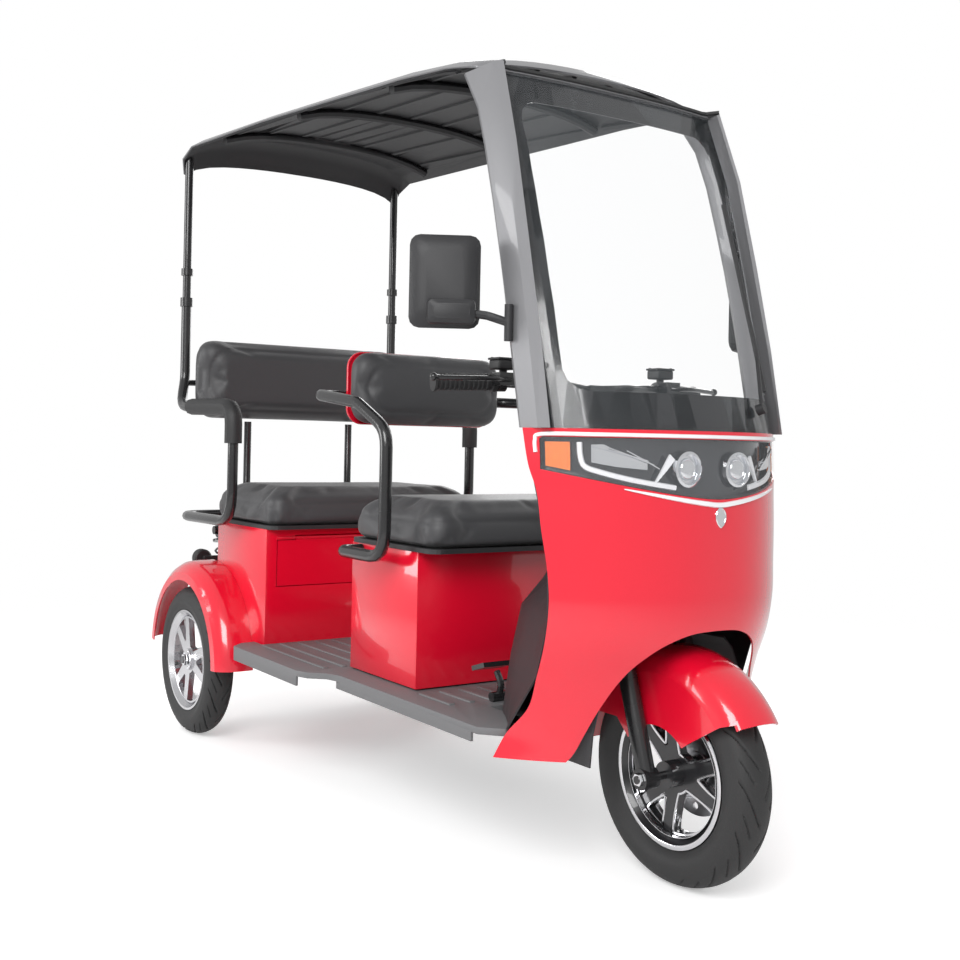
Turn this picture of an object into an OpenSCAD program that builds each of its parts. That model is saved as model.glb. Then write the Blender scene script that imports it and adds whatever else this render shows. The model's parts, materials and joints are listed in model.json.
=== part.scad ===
// Electric passenger tricycle: one steered wheel in front, two driven wheels
// behind, two bench seats, a curved windscreen and a roof on rear posts.
// Millimetres. +X is forward, +Y is the vehicle's left, +Z is up.
// Lengths along X are first given from the front axle, which lies at x = 0.

/* [Stance] */
// Distance between the front and the rear axle
wheelbase = 1538; // [1500:1:1600]
// Distance between the middles of the two rear tyres
rear_track = 736; // [730:1:780]
// Height of the floor's top face
floor_z = 293; // [285:1:310]
// Thickness of the moulded floor
floor_t = 14; // [10:1:18]
// How far the roof reaches behind the rear axle
rear_overhang = 205; // [200:1:240]
// Lean of the steering axis from upright
rake = 18; // [16:0.5:20]

/* [Wheels] */
// Outer radius of the front tyre
front_tyre_r = 209; // [205:1:213]
// Width of the front tyre
front_tyre_w = 90; // [80:1:96]
// Outer radius of the rear tyres
rear_tyre_r = 204; // [198:1:208]
// Width of the rear tyres
rear_tyre_w = 78; // [70:1:82]
// Radius of the seat that the tyre beads sit on
bead_r = 127; // [120:1:130]
// Width of the rims between their flanges
rim_w = 56; // [50:1:60]
// Height of the rim flange above the bead seat
flange_h = 11; // [8:1:13]
// Radius of the front axle
front_axle_r = 7.5; // [6:0.5:9]
// Radius of the rear axle shafts
rear_axle_r = 12; // [10:0.5:14]
// Running clearance of the wheels on their axles
axle_clear = 0.05; // [0.03:0.01:0.1]

/* [Steering] */
// Distance from the middle plane to each fork leg
fork_y = 84; // [80:1:92]
// Radius of the lower fork legs
fork_r = 18; // [14:1:20]
// Radius of the steering stem
stem_r = 15; // [13:0.5:17]
// Distance of the steering axis behind the front axle, at axle height
axis_set = 30; // [20:1:40]
// Half the width of the handlebar
bar_half = 352; // [330:1:370]
// Height of the handlebar's grips
bar_z = 946; // [935:1:960]
// Radius of the handlebar tube
bar_r = 11; // [10:0.5:12.7]
// Radius of the hand grips
grip_r = 16; // [14:0.5:18]

/* [Nose] */
// Wall of the moulded nose
nose_t = 4; // [3:0.5:6]
// Height of the nose's top edge
nose_top = 856; // [850:1:862]
// Height of the wheel arch's crown in the nose
arch_top = 490; // [485:1:500]
// Half the width of the wheel arch near the ground
arch_half = 190; // [185:1:200]
// Height of the headlamp's top edge
lamp_top = 840; // [836:1:842]
// Height of the headlamp at the middle
lamp_h = 108; // [95:1:115]

/* [Screen and roof] */
// Thickness of the windscreen
screen_t = 4; // [3:0.5:5]
// Height of the windscreen's top edge
screen_top = 1550; // [1540:1:1565]
// Width of the dark border of the windscreen
border_w = 56; // [45:1:65]
// Half the width of the roof at the rear
roof_half = 372; // [365:1:385]
// Height of the roof's side edge at the rear
roof_z = 1690; // [1680:1:1710]
// Wall of the roof shell
roof_t = 4; // [3:0.5:6]
// Height of the roof's crown over its side edges
roof_crown = 34; // [25:1:45]
// Radius of the upper roof posts
post_r = 12; // [10:0.5:14]
// Radius of the seat tubes
tube_r = 14; // [12:0.5:16]

/* [Seats] */
// Rear face of the front seat box
box1_rear = -810; // [-820:1:-800]
// Length of the front seat box
box1_l = 292; // [270:1:310]
// Half the width of the front seat box
box1_half = 274; // [260:1:280]
// Front face of the rear seat box
box2_front = -1195; // [-1205:1:-1185]
// Length of the rear seat box
box2_l = 325; // [300:1:330]
// Half the width of the rear seat box
box2_half = 318; // [310:1:322]
// Height of both seat boxes' top edges
box_top = 590; // [580:1:600]
// Wall of the seat boxes
box_t = 4; // [3:0.5:6]
// Thickness of the seat pans
pan_t = 10; // [8:1:14]
// Thickness of the seat cushions
cushion_t = 92; // [80:1:100]
// Height of the front backrest's lower edge
rest1_z = 862; // [850:1:875]
// Height of the front backrest
rest1_h = 190; // [170:1:205]
// Height of the rear backrest's lower edge
rest2_z = 876; // [865:1:890]
// Height of the rear backrest
rest2_h = 244; // [225:1:255]

/* [Hidden] */
$fn = 48;
gap = 0.3;
rear_x = -wheelbase;
roof_rear = rear_x - rear_overhang;
// The rear fenders reach furthest back: their radius, and the angle that they end at
fender_r = rear_tyre_r + 72;
fender_end = 6;
front_axle_x = (wheelbase + fender_r * cos(fender_end) - front_tyre_r) / 2;
red = "crimson";
silver = "silver";
dark = "dimgray";
black = [0.1, 0.1, 0.11];

function unit(v) = v / norm(v);
function lerp(a, b, t) = a + (b - a) * t;
function polar(r, a) = [r * cos(a), r * sin(a)];
// A value from a table of [key, value, ...] rows, read between its rows
function read(t, k, c, i = 0) =
    i >= len(t) - 2 || k <= t[i + 1][0]
    ? lerp(t[i][c], t[i + 1][c], (k - t[i][0]) / (t[i + 1][0] - t[i][0]))
    : read(t, k, c, i + 1);
// The steering axis: its point at height z, and its direction
function axis_at(z) = [-axis_set - (z - front_tyre_r) * tan(rake), 0, z];
axis_dir = [-sin(rake), 0, cos(rake)];

module at_axle() {
    translate([front_axle_x, 0, 0]) children();
}
module both_sides() {
    children();
    mirror([0, 1, 0]) children();
}
// A cylinder from point a to point b
module rod(a, b, r) {
    d = b - a;
    translate(a)
        rotate([0, acos(d[2] / norm(d)), atan2(d[1], d[0])])
            cylinder(h = norm(d), r = r);
}
// A block between two corners
module block(a, b) {
    translate(a) cube(b - a);
}
// A cylinder along Y, from y0 to y1, about the point x, z
module drum(x, z, y0, y1, r) {
    translate([x, y1, z]) rotate([90, 0, 0]) cylinder(h = y1 - y0, r = r);
}

// A path whose corners are rounded with radius r, in steps of arcs
function rounded(p, r, steps = 4) = concat([p[0]], [
    for (i = [1 : len(p) - 2])
        let (a = unit(p[i - 1] - p[i]), b = unit(p[i + 1] - p[i]),
             half = acos(max(-1, min(1, a * b))) / 2,
             cut = min(r / tan(half), norm(p[i - 1] - p[i]) * 0.48, norm(p[i + 1] - p[i]) * 0.48))
        for (s = [0 : steps])
            let (t = s / steps, q0 = p[i] + a * cut, q2 = p[i] + b * cut)
            q0 * (1 - t) * (1 - t) + p[i] * 2 * t * (1 - t) + q2 * t * t
], [p[len(p) - 1]]);
function tangents(p) = [
    for (i = [0 : len(p) - 1])
        unit(p[min(i + 1, len(p) - 1)] - p[max(i - 1, 0)])
];
function side_of(t) = unit(cross(t, abs(t[2]) < 0.8 ? [0, 0, 1] : [0, 1, 0]));
function normals(t) = [
    for (i = 0, a = side_of(t[0]); i < len(t);
         i = i + 1, a = i < len(t) ? unit(a - t[i] * (a * t[i])) : a) a
];
// Rings of n points with radii r[0] across and r[1] upright, along a path
function sweep_rings(p, r, n) =
    let (t = tangents(p), a = normals(t)) [
        for (i = [0 : len(p) - 1])
            let (b = cross(t[i], a[i])) [
                for (k = [0 : n - 1])
                    p[i] + a[i] * (r[0] * cos(360 * k / n)) + b * (r[1] * sin(360 * k / n))
            ]
    ];
// A closed solid over rings that all have the same number of points
module loft(rings) {
    n = len(rings[0]);
    m = len(rings);
    points = [for (g = rings) for (q = g) q];
    sides = [
        for (i = [0 : m - 2]) for (k = [0 : n - 1])
            let (a = i * n + k, b = i * n + (k + 1) % n, c = a + n, d = b + n)
            for (f = [[a, c, b], [b, c, d]]) f
    ];
    caps = [[for (k = [0 : n - 1]) k], [for (k = [0 : n - 1]) m * n - 1 - k]];
    polyhedron(points, concat(sides, caps), convexity = 6);
}
module tube(path, r, n = 10) {
    loft(sweep_rings(path, [r, r], n));
}
// A rounded rectangle's points: half sizes w and h, corner radius r
function rrect(w, h, r, n = 3) = [
    for (q = [0 : 3]) for (s = [0 : n])
        let (sx = (q == 0 || q == 3) ? 1 : -1, sy = q < 2 ? 1 : -1, a = 90 * q + 90 * s / n)
        [sx * (w - r) + r * cos(a), sy * (h - r) + r * sin(a)]
];
// The wall between a grid of points and the same grid set inwards by t
function grid_normal(g, i, j) =
    let (m = len(g) - 1, n = len(g[0]) - 1,
         du = g[min(i + 1, m)][j] - g[max(i - 1, 0)][j],
         dv = g[i][min(j + 1, n)] - g[i][max(j - 1, 0)])
    unit(cross(du, dv));
function inset(g, t) = [
    for (i = [0 : len(g) - 1]) [for (j = [0 : len(g[0]) - 1]) g[i][j] + grid_normal(g, i, j) * t]
];
module wall(g, g2) {
    m = len(g);
    n = len(g[0]);
    s = m * n;
    points = concat([for (r = g) for (q = r) q], [for (r = g2) for (q = r) q]);
    skin = [
        for (i = [0 : m - 2]) for (j = [0 : n - 2])
            let (a = i * n + j, b = a + 1, c = a + n, d = c + 1)
            for (f = [[a, b, c], [b, d, c], [s + a, s + c, s + b], [s + b, s + c, s + d]]) f
    ];
    ends = [
        for (j = [0 : n - 2])
            let (a = j, b = j + 1, c = (m - 1) * n + j, d = c + 1)
            for (f = [[a, s + a, b], [b, s + a, s + b], [c, d, s + c], [d, s + d, s + c]]) f
    ];
    sides = [
        for (i = [0 : m - 2])
            let (a = i * n, b = a + n, c = a + n - 1, d = c + n)
            for (f = [[a, b, s + a], [b, s + b, s + a], [c, s + c, d], [d, s + c, s + d]]) f
    ];
    polyhedron(points, concat(skin, ends, sides), convexity = 8);
}

// The front of the vehicle is one family of curves across it. Its rows are
// height, place of the middle, place of the sides, half the width.
FACE = [[245, 20, -150, 330], [290, 30, -135, 312], [340, 44, -102, 288], [400, 56, -80, 286],
        [470, 84, -56, 287], [540, 95, -44, 289], [600, 95, -47, 292], [675, 92, -56, 301],
        [740, 90, -64, 306], [790, 89, -77, 317], [856, 88, -90, 322]];
// The windscreen goes on above it, in the same columns
SCREEN = [[856, 80, -64, 300], [1030, 10, -98, 300], [1210, -66, -141, 299],
          [1400, -152, -190, 296], [screen_top, -226, -244, 288]];
function front_x(t, z, y) =
    let (w = read(t, z, 3), s = read(t, z, 2))
    s + (read(t, z, 1) - s) * (1 - pow(min(1, abs(y) / w), 2.4));
function front_row(t, z, n) =
    let (w = read(t, z, 3)) [
        for (j = [n : -1 : -n]) let (y = w * sin(90 * j / n) * 0.35 + w * 0.65 * j / n)
            [front_x(t, z, y), y, z]
    ];
function front_grid(t, zs, n) = [for (z = zs) front_row(t, z, n)];

// Front of the vehicle
arch_pts = [[-arch_half - 22, 150], [-arch_half - 8, 300], [-arch_half + 14, 380],
            [-arch_half + 36, 430], [-arch_half + 76, 468], [-60, arch_top - 3], [0, arch_top]];
arch_outline = concat(arch_pts, [for (i = [len(arch_pts) - 2 : -1 : 0]) [-arch_pts[i][0], arch_pts[i][1]]]);
house_rear = -front_tyre_r - 63;
house_t = 3;
// The headlamp's outline across the front: lower edge at distance y from the middle
function lamp_low(y) = lamp_top - lamp_h + 50 * pow(abs(y) / 300, 1.6);
lamp_half = 302;
module lamp_outline(g, top = lamp_top) {
    polygon(concat(
        [for (i = [-8 : 8]) let (y = lamp_half * i / 8) [y * (lamp_half + g) / lamp_half, lamp_low(y) - g]],
        [[lamp_half + g, top + g], [-lamp_half - g, top + g]]));
}
// An outline in y and z, pushed along X from x0 to x1
module along_x(x0, x1) {
    translate([x0, 0, 0]) rotate([90, 0, 90]) linear_extrude(height = x1 - x0) children();
}
module nose_shell() at_axle() color(red) {
    zs = [245, 290, 340, 400, 470, 540, 600, 675, 740, 790, nose_top];
    g = front_grid(FACE, zs, 9);
    difference() {
        wall(g, inset(g, -nose_t));
        along_x(-400, 400) polygon(arch_outline);
        along_x(-400, -20 + gap) offset(delta = house_t + gap) polygon(arch_outline);
        along_x(-200, 400) lamp_outline(1);
    }
}
module wheelhouse() at_axle() color(black) {
    difference() {
        along_x(house_rear - house_t, -20) offset(delta = house_t) polygon(arch_outline);
        along_x(house_rear, 0) polygon(arch_outline);
        block([house_rear - 50, -300, 100], [0, 300, floor_z - floor_t - 40]);
        block([-235, -132, 380], [0, 132, 520]);
    }
}
dash_z = 842;
// The leg shield closes the nose towards the rider and stands out round the
// steering column: height, middle, sides, half the width, half the column's width
SHIELD = [[floor_z + 2, house_rear - 62, -146, 304, 250], [400, house_rear - 58, -90, 279, 248],
          [500, house_rear - 54, -58, 281, 215], [600, -268, -55, 285, 150],
          [700, -262, -66, 296, 125], [dash_z, -296, -96, 312, 115]];
dash_t = 3;
function shield_x(z, y) =
    let (b = read(SHIELD, z, 4), w = read(SHIELD, z, 3), s = read(SHIELD, z, 2),
         e = 1 / (1 + pow(w / b, 8)))
    s + (read(SHIELD, z, 1) - s) * (1 / (1 + pow(abs(y) / b, 8)) - e) / (1 - e);
function shield_grid(n) = [
    for (z = [for (r = SHIELD) r[0]])
        let (w = read(SHIELD, z, 3)) [for (j = [n : -1 : -n]) [shield_x(z, w * j / n), w * j / n, z]]
];
module leg_shield() at_axle() color(black) {
    g = shield_grid(11);
    top = g[len(g) - 1];
    front = [for (q = front_row(FACE, dash_z, 8)) [q[0] - nose_t - 3, q[1] * 0.97]];
    difference() {
        union() {
            wall(inset(g, 3), g);
            translate([0, 0, dash_z - dash_t])
                linear_extrude(height = dash_t)
                    polygon(concat([for (q = top) [q[0] + 1.5, q[1]]], [for (i = [len(front) - 1 : -1 : 0]) front[i]]));
        }
        rod(axis_at(790), axis_at(900), 34);
    }
}
module headlamp_body() at_axle() color(black) {
    zs = [for (i = [0 : 6]) lerp(lamp_top - lamp_h - 6, dash_z - dash_t - gap, i / 6)];
    g = front_grid(FACE, zs, 9);
    intersection() {
        wall(inset(g, -nose_t - gap), inset(g, -nose_t - 34));
        along_x(-76, 200) lamp_outline(5);
    }
}
module headlamp_lens() at_axle() color("lightgray") {
    zs = [for (i = [0 : 6]) lerp(lamp_top - lamp_h - 6, lamp_top + 6, i / 6)];
    g = front_grid(FACE, zs, 9);
    intersection() {
        wall(g, inset(g, -nose_t));
        along_x(-200, 200) lamp_outline(0);
    }
}

// Windscreen, its border and the pillars
screen_zs = [nose_top + gap, 960, 1080, 1210, 1310, 1400, 1490, screen_top];
module windscreen() at_axle() color([0.85, 0.9, 0.92, 0.4]) {
    g = front_grid(SCREEN, screen_zs, 8);
    wall(g, inset(g, -screen_t));
}
module screen_border() at_axle() color(black) {
    g = front_grid(SCREEN, screen_zs, 8);
    h = inset(g, -screen_t);
    b = border_w;
    difference() {
        wall(h, inset(g, -screen_t - 2));
        along_x(-600, 300) polygon([
            for (q = rrect(1, 1, 0.14, 3))
                let (z = lerp(nose_top + b + 12, screen_top - b, (q[1] + 1) / 2))
                [q[0] * (read(SCREEN, z, 3) - b * 0.72), z]
        ]);
    }
}
// One pillar: height, place of its outer rear edge, width along the side
PILLAR = [[nose_top + gap, -108, 312], [1030, -145, 313], [1120, -166, 312], [1210, -189, 311], [1300, -214, 310],
          [1400, -244, 309], [1484, -276, 306], [screen_top, -324, 301], [screen_top + 15, -335, 300]];
module front_pillars() at_axle() color(silver) {
    both_sides() loft([
        for (r = PILLAR)
            let (z = r[0], w = read(SCREEN, z, 3), x0 = front_x(SCREEN, z, w), x1 = r[1], y = r[2])
            [[x0 + 32, w + 3, z], [x0 + 6, y - 1, z], [x1, y, z], [x1 - 10, y - 4, z],
             [x1 - 8, w - 4, z], [x1 + 8, w - 14, z], [x0 - 6, w + gap, z], [x0 + 26, w + gap, z]]
    ]);
    // header above the screen
    g = front_grid(SCREEN, [screen_top + gap, screen_top + 12], 8);
    wall(inset(g, 3), inset(g, -screen_t - 16));
}
module wiper() at_axle() color(black) {
    foot = [front_x(SCREEN, 900, 150), 150, 900];
    out = unit([1, 0.44, 0.4]);
    base = foot + out * 11;
    mid = [front_x(SCREEN, 1010, 205) + 12, 205, 1010];
    tip = [front_x(SCREEN, 1340, 236) + 9, 236, 1340];
    rod(foot + out * 1.6, foot + out * 17, 11);
    tube([base, lerp(base, mid, 0.6), mid], 4, 6);
    tube([for (t = [0 : 0.125 : 1])
        let (q = lerp(mid + [0, 6, -70], tip, t)) [front_x(SCREEN, q[2], q[1]) + 8.5, q[1], q[2]]], 5, 6);
}

// Roof: place along X, half the width, height of the side edge, crown, droop, bow
ROOF = [[roof_rear, roof_half - 12, roof_z - 62, 26, 40, 0], [roof_rear + 20, roof_half, roof_z - 22, roof_crown + 8, 40, 0],
        [roof_rear + 90, roof_half, roof_z, roof_crown + 6, 38, 0], [-1200, roof_half - 14, roof_z - 26, roof_crown, 32, 0],
        [-800, roof_half - 36, roof_z - 52, roof_crown, 30, 8], [-560, roof_half - 52, roof_z - 68, roof_crown, 28, 24],
        [-400, roof_half - 64, roof_z - 84, roof_crown - 10, 26, 40],
        [-334, roof_half - 70, roof_z - 97, 14, 24, 52], [-298, roof_half - 76, screen_top + 28, 3, 10, 58]];
roof_n = 8;
function roof_row(r, drop = 0) = [
    for (j = [-roof_n : roof_n])
        let (u = j / roof_n, e = pow(abs(u), 6), m = 1 - pow(abs(u), 2.2))
        [r[0] + r[5] * m, r[1] * (u * 1.06 - 0.06 * u * e), r[2] + r[3] * m - r[4] * e * 0.6 - drop]
];
module roof_shell() at_axle() color(silver) {
    g = [for (r = ROOF) roof_row(r)];
    wall(g, inset(g, -roof_t));
}
liner_gap = 1;
liner_t = 4;
liner_grid = [for (i = [0 : len(ROOF) - 2])
    roof_row(i < len(ROOF) - 2 ? ROOF[i] : lerp(ROOF[i - 1], ROOF[i], 0.75))];
module roof_liner() at_axle() color(black) {
    wall(inset(liner_grid, -roof_t - liner_gap), inset(liner_grid, -roof_t - liner_gap - liner_t));
    for (x = [-1500, -1060, -640])
        let (half = read(ROOF, x, 1), z = read(ROOF, x, 2) + read(ROOF, x, 3) - roof_t - liner_gap - liner_t - 9)
        tube([for (j = [-6 : 6]) let (u = j / 6 * 0.9)
            [x, half * u, z - read(ROOF, x, 3) * pow(abs(u), 2.2) - read(ROOF, x, 4) * 0.6 * pow(abs(u), 6)]], 12, 8);
}
post_x = roof_rear + 21;
post_y = roof_half - 22;
post_low = 1210;
module roof_posts() at_axle() color(black) {
    both_sides() {
        difference() {
            rod([post_x, post_y, post_low + gap], [post_x, post_y, roof_z - 40], post_r);
            row0 = inset(liner_grid, -roof_t - liner_gap - liner_t - 1);
            under = concat([[for (q = row0[0]) q - [20, 0, 0]]], row0);
            wall([for (row = under) [for (q = row) q + [0, 0, 120]]], under);
        }
        rod([post_x, post_y, post_low + gap], [post_x, post_y, post_low + 26], tube_r + 4);
        rod([post_x, post_y, post_low + 92], [post_x, post_y, post_low + 112], tube_r + 3);
    }
}
mirror_mid = [-236, -402, 1128];
mirror_yaw = 30;
mirror_foot = 313 + 8 + gap;
module mirrors() at_axle() color(black) {
    mirror([0, 1, 0]) both_sides() mirror([0, 1, 0]) {
        translate(mirror_mid) rotate([0, 0, -mirror_yaw]) {
            loft([for (s = [[-20, 58, 78], [-14, 65, 86], [4, 67, 88], [16, 58, 78], [22, 40, 60]])
                [for (q = rrect(s[1], s[2], 20)) [s[0], q[0], q[1]]]]);
            loft([for (s = [[23, 46, 24], [34, 44, 22], [40, 34, 14]])
                [for (q = rrect(s[1], s[2], 10)) [s[0], q[0] + 12, q[1] - 58]]]);
        }
        tube(rounded([mirror_mid + [34, 18, -58], [-176, -344, 1064], [-140, -mirror_foot, 1050]], 20), 8, 8);
        rod([-140, -mirror_foot, 1016], [-140, -mirror_foot, 1084], 8);
    }
}

// Floor
sill_half = 338;
step_half = 398;
floor_under = floor_z - floor_t;
step_rear = rear_x + rear_tyre_r + 94;
step_front = box1_rear + 12;
house_half = arch_half + 26;
module footboard() at_axle() color("gray") {
    front = -152;
    r = 34;
    half = [[column_x - column_r - 4, 0], [column_x - column_r - 4, house_half], [front - 10, house_half],
            [front, house_half + 10], [front, 300], [front - 40, sill_half], [step_front + 60, sill_half],
            [step_front + 20, sill_half + 14], [step_front - 10, step_half - 12], [step_front - 44, step_half],
            [step_rear + r, step_half], [step_rear, step_half - r], [step_rear - 4, box2_half + 6],
            [box2_front, box2_half + 6], [box2_front, 0]];
    outline = concat(half, [for (i = [len(half) - 2 : -1 : 1]) [half[i][0], -half[i][1]]]);
    translate([0, 0, floor_under]) linear_extrude(height = floor_t) polygon(outline);
    // turned-down edge along the sills and the steps
    both_sides() {
        block([step_front + 40, sill_half - 6, floor_under - 18], [front - 60, sill_half, floor_under]);
        block([step_rear + r, step_half - 6, floor_under - 22], [step_front - 44, step_half, floor_under]);
    }
    // ribs that the feet stand on
    both_sides() for (i = [0 : 4])
        block([box1_rear + box1_l + 30, 70 + 50 * i, floor_z], [pedal_x - 14, 84 + 50 * i, floor_z + 3]);
    both_sides() for (i = [0 : 6])
        block([box2_front + 20, 20 + 50 * i, floor_z], [box1_rear - 20, 34 + 50 * i, floor_z + 3]);
}
pedal_x = house_rear - 84;
module brake_pedal() at_axle() color(black) {
    y = -150;
    x = pedal_x;
    z = floor_z + gap + 10;
    rod([x, y - 40, z], [x, y + 20, z], 10);
    tube(rounded([[x, y - 20, z + 3], [x + 8, y - 20, z + 27], [x - 10, y - 20, z + 49]], 20), 7, 8);
    translate([x - 48, y - 56, z + 47]) rotate([0, -18, 0]) cube([46, 72, 10]);
}

// Frame
rail_y = 150;
rail_w = 40;
rail_h = 40;
rail_rear = rear_x - 122;
seat_bar_x = rear_x - 132;
seat_bar_z = 600;
pivot_x = -1290;
pivot_z = 219;
shock_x = rear_x - 96;
shock_y = 262;
shock_top = 556;
pivot_r = 8;
head_low = 560;
head_top = 760;
column_r = 18;
column_x = house_rear - 28;
module frame() at_axle() color(black) {
    top = floor_under;
    difference() {
        union() {
            rod(axis_at(head_low), axis_at(head_top), stem_r + 9);
            tube(rounded([axis_at(620) + [-12, 0, 0], [column_x, 0, 500],
                [column_x, 0, top - rail_h]], 60), column_r, 12);
        }
        rod(axis_at(head_low - 40), axis_at(head_top + 40), stem_r + axle_clear);
    }
    both_sides() {
        block([rail_rear, rail_y, top - rail_h], [house_rear - 10, rail_y + rail_w, top]);
        block([seat_bar_x - 14, rail_y + 4, top - rail_h], [rail_rear + 1, rail_y + rail_w - 4, top]);
        block([seat_bar_x - 14, rail_y + 4, top - 1], [seat_bar_x + 14, rail_y + rail_w - 4, seat_bar_z - tube_r - gap]);
        block([pivot_x - 20, rail_y + 6, pivot_z - 20], [pivot_x + 20, rail_y + 14, top - rail_h + 1]);
        block([pivot_x - 20, rail_y + 30, pivot_z - 20], [pivot_x + 20, rail_y + 38, top - rail_h + 1]);
        drum(pivot_x, pivot_z, rail_y, rail_y + 44, pivot_r);
    }
    for (x = [house_rear - 44, -700, box2_front + 10, rail_rear])
        block([x, -rail_y - 1, top - 34], [x + 32, rail_y + 1, top]);
    // cross bar that carries the tops of the shocks
    drum(shock_x, shock_top, -shock_y - 24, shock_y + 24, 12);
    both_sides() block([seat_bar_x + 10, rail_y + 8, shock_top - 9], [shock_x, rail_y + 30, shock_top + 9]);
    // outriggers under the steps and the seat box
    both_sides() for (x = [-1060, -640])
        block([x, rail_y + rail_w - 1, top - 24], [x + 30, sill_half - 20, top]);
    block([box2_front - 60, -box2_half + 20, top - 24], [box2_front - 30, box2_half - 20, top]);
}

// Seat boxes
module open_box(x0, l, half, z0, z1, t) {
    difference() {
        block([x0, -half, z0], [x0 + l, half, z1]);
        block([x0 + t, -half + t, z0 + t], [x0 + l - t, half - t, z1 + 1]);
    }
}
hinge_r = 4;
hinge_clear = 0.05;
hinge_z = box_top - 8.2;
hinge1_x = box1_rear - 10;
box2_rear = box2_front - box2_l;
hinge2_x = box2_rear - 10;
// Pin and two ears on the rear wall of a box
module hinge_ears(x, wall_x) {
    drum(x, hinge_z, -90, 90, hinge_r);
    both_sides() {
        drum(x, hinge_z, 62, 90, hinge_r + 4);
        block([x, 62, hinge_z - 8], [wall_x + 1, 90, hinge_z]);
    }
}
// Knuckle and web under the seat pan
module hinge_knuckle(x) {
    difference() {
        union() {
            drum(x, hinge_z, -60, 60, hinge_r + 4);
            block([x - 8, -60, hinge_z], [x, 60, box_top + gap + 1]);
        }
        drum(x, hinge_z, -61, 61, hinge_r + hinge_clear);
    }
}
module front_seat_box() at_axle() color(red) {
    open_box(box1_rear, box1_l, box1_half, floor_z + gap + 3, box_top, box_t);
    hinge_ears(hinge1_x, box1_rear);
}
module battery_pack() at_axle() color(black) {
    z = floor_z + gap + 3 + box_t + gap;
    block([box1_rear + 40, -170, z], [box1_rear + box1_l - 40, 170, z + 200]);
}
door_half = 288;
door_low = 440;
door_top = 574;
door_pin_z = door_top - 7;
door_pin_r = 2.5;
door_pin_x = box2_front - box_t / 2;
module rear_seat_box() at_axle() color(red) {
    z0 = floor_under + gap;
    well = rear_tyre_r + 12;
    difference() {
        open_box(box2_rear, box2_l, box2_half, z0, box_top, box_t);
        block([box2_front - box_t - 1, -door_half, door_low], [box2_front + 1, door_half, door_top]);
    }
    hinge_ears(hinge2_x, box2_rear);
    // door pin in three stubs
    for (y = [[-door_half - 1, -236], [-34, 34], [236, door_half + 1]]) drum(door_pin_x, door_pin_z, y[0], y[1], 5);
    drum(door_pin_x, door_pin_z, -door_half, door_half, door_pin_r);
    for (y = [[-door_half - 1, -236], [-34, 34], [236, door_half + 1]])
        block([door_pin_x - 2, y[0], door_pin_z], [door_pin_x + 2, y[1], door_top + 1]);
}
module storage_door() at_axle() color(red) {
    difference() {
        union() {
            block([box2_front - box_t, -door_half + 2, door_low + 2], [box2_front, door_half - 2, door_pin_z - 6]);
            both_sides() {
                drum(door_pin_x, door_pin_z, 36, 234, 5);
                block([door_pin_x - 2, 36, door_pin_z - 7], [door_pin_x + 2, 234, door_pin_z]);
            }
        }
        drum(door_pin_x, door_pin_z, -door_half, door_half, door_pin_r + hinge_clear);
    }
}

// Seats. A cushion is a stack of rounded outlines: height, set in, corner
function cushion_rings(x0, x1, half, z0, t, r) = [
    for (s = [[0, 10], [0.1, 1], [0.3, 0], [0.62, 2], [0.84, 12], [0.96, 30], [1, 62]])
        [for (q = rrect((x1 - x0) / 2 - s[1], half - s[1], max(8, r - s[1] / 2), 4))
            [(x0 + x1) / 2 + q[0], q[1], z0 + t * s[0]]]
];
pan_z = box_top + gap;
seat1 = [box1_rear - 16, box1_rear + box1_l + 72, box1_half + 10];
seat2 = [box2_rear - 52, box2_front + 32, box2_half + 6];
module seat_pan(s, x) {
    translate([0, 0, pan_z]) linear_extrude(height = pan_t) polygon([
        for (q = rrect((s[1] - s[0]) / 2 - 6, s[2] - 6, 30, 5)) [(s[0] + s[1]) / 2 + q[0], q[1]]
    ]);
    hinge_knuckle(x);
}
module front_seat_pan() at_axle() color(black) seat_pan(seat1, hinge1_x);
module rear_seat_pan() at_axle() color(black) seat_pan(seat2, hinge2_x);
module front_cushion() at_axle() color(dark) {
    loft(cushion_rings(seat1[0], seat1[1], seat1[2], pan_z + pan_t, cushion_t, 46));
}
module rear_cushion() at_axle() color(dark) {
    loft(cushion_rings(seat2[0], seat2[1], seat2[2], pan_z + pan_t, cushion_t, 46));
}
// A backrest stands on x0: thickness t, half width, foot and height
module backrest(x0, t, half, z0, h) {
    loft([for (s = [[0, 8], [0.12, 1], [0.5, 0], [0.8, 8], [0.95, 22], [1, 40]])
        [for (q = rrect(half - s[1], h / 2 - s[1], 46 - s[1] / 2, 4)) [x0 + t * s[0], q[0], z0 + h / 2 + q[1]]]]);
}
rest1_x = -962;
rest1_half = 221;
rest1_t = 66;
shell_t = 9;
rest2_x = rear_x - 160;
rest2_half = 338;
rest2_t = 78;
module front_backrest() at_axle() {
    color(dark) backrest(rest1_x, rest1_t, rest1_half, rest1_z, rest1_h);
    color(red) loft([for (s = [[-shell_t, 14], [-shell_t / 2, 4], [0, 4]])
        [for (q = rrect(rest1_half - s[1], rest1_h / 2 - s[1], 42, 4))
            [rest1_x + s[0], q[0], rest1_z + rest1_h / 2 + q[1]]]]);
}
module rear_backrest() at_axle() color(dark) {
    backrest(rest2_x, rest2_t, rest2_half, rest2_z, rest2_h);
}
hoop_y = 330;
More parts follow.
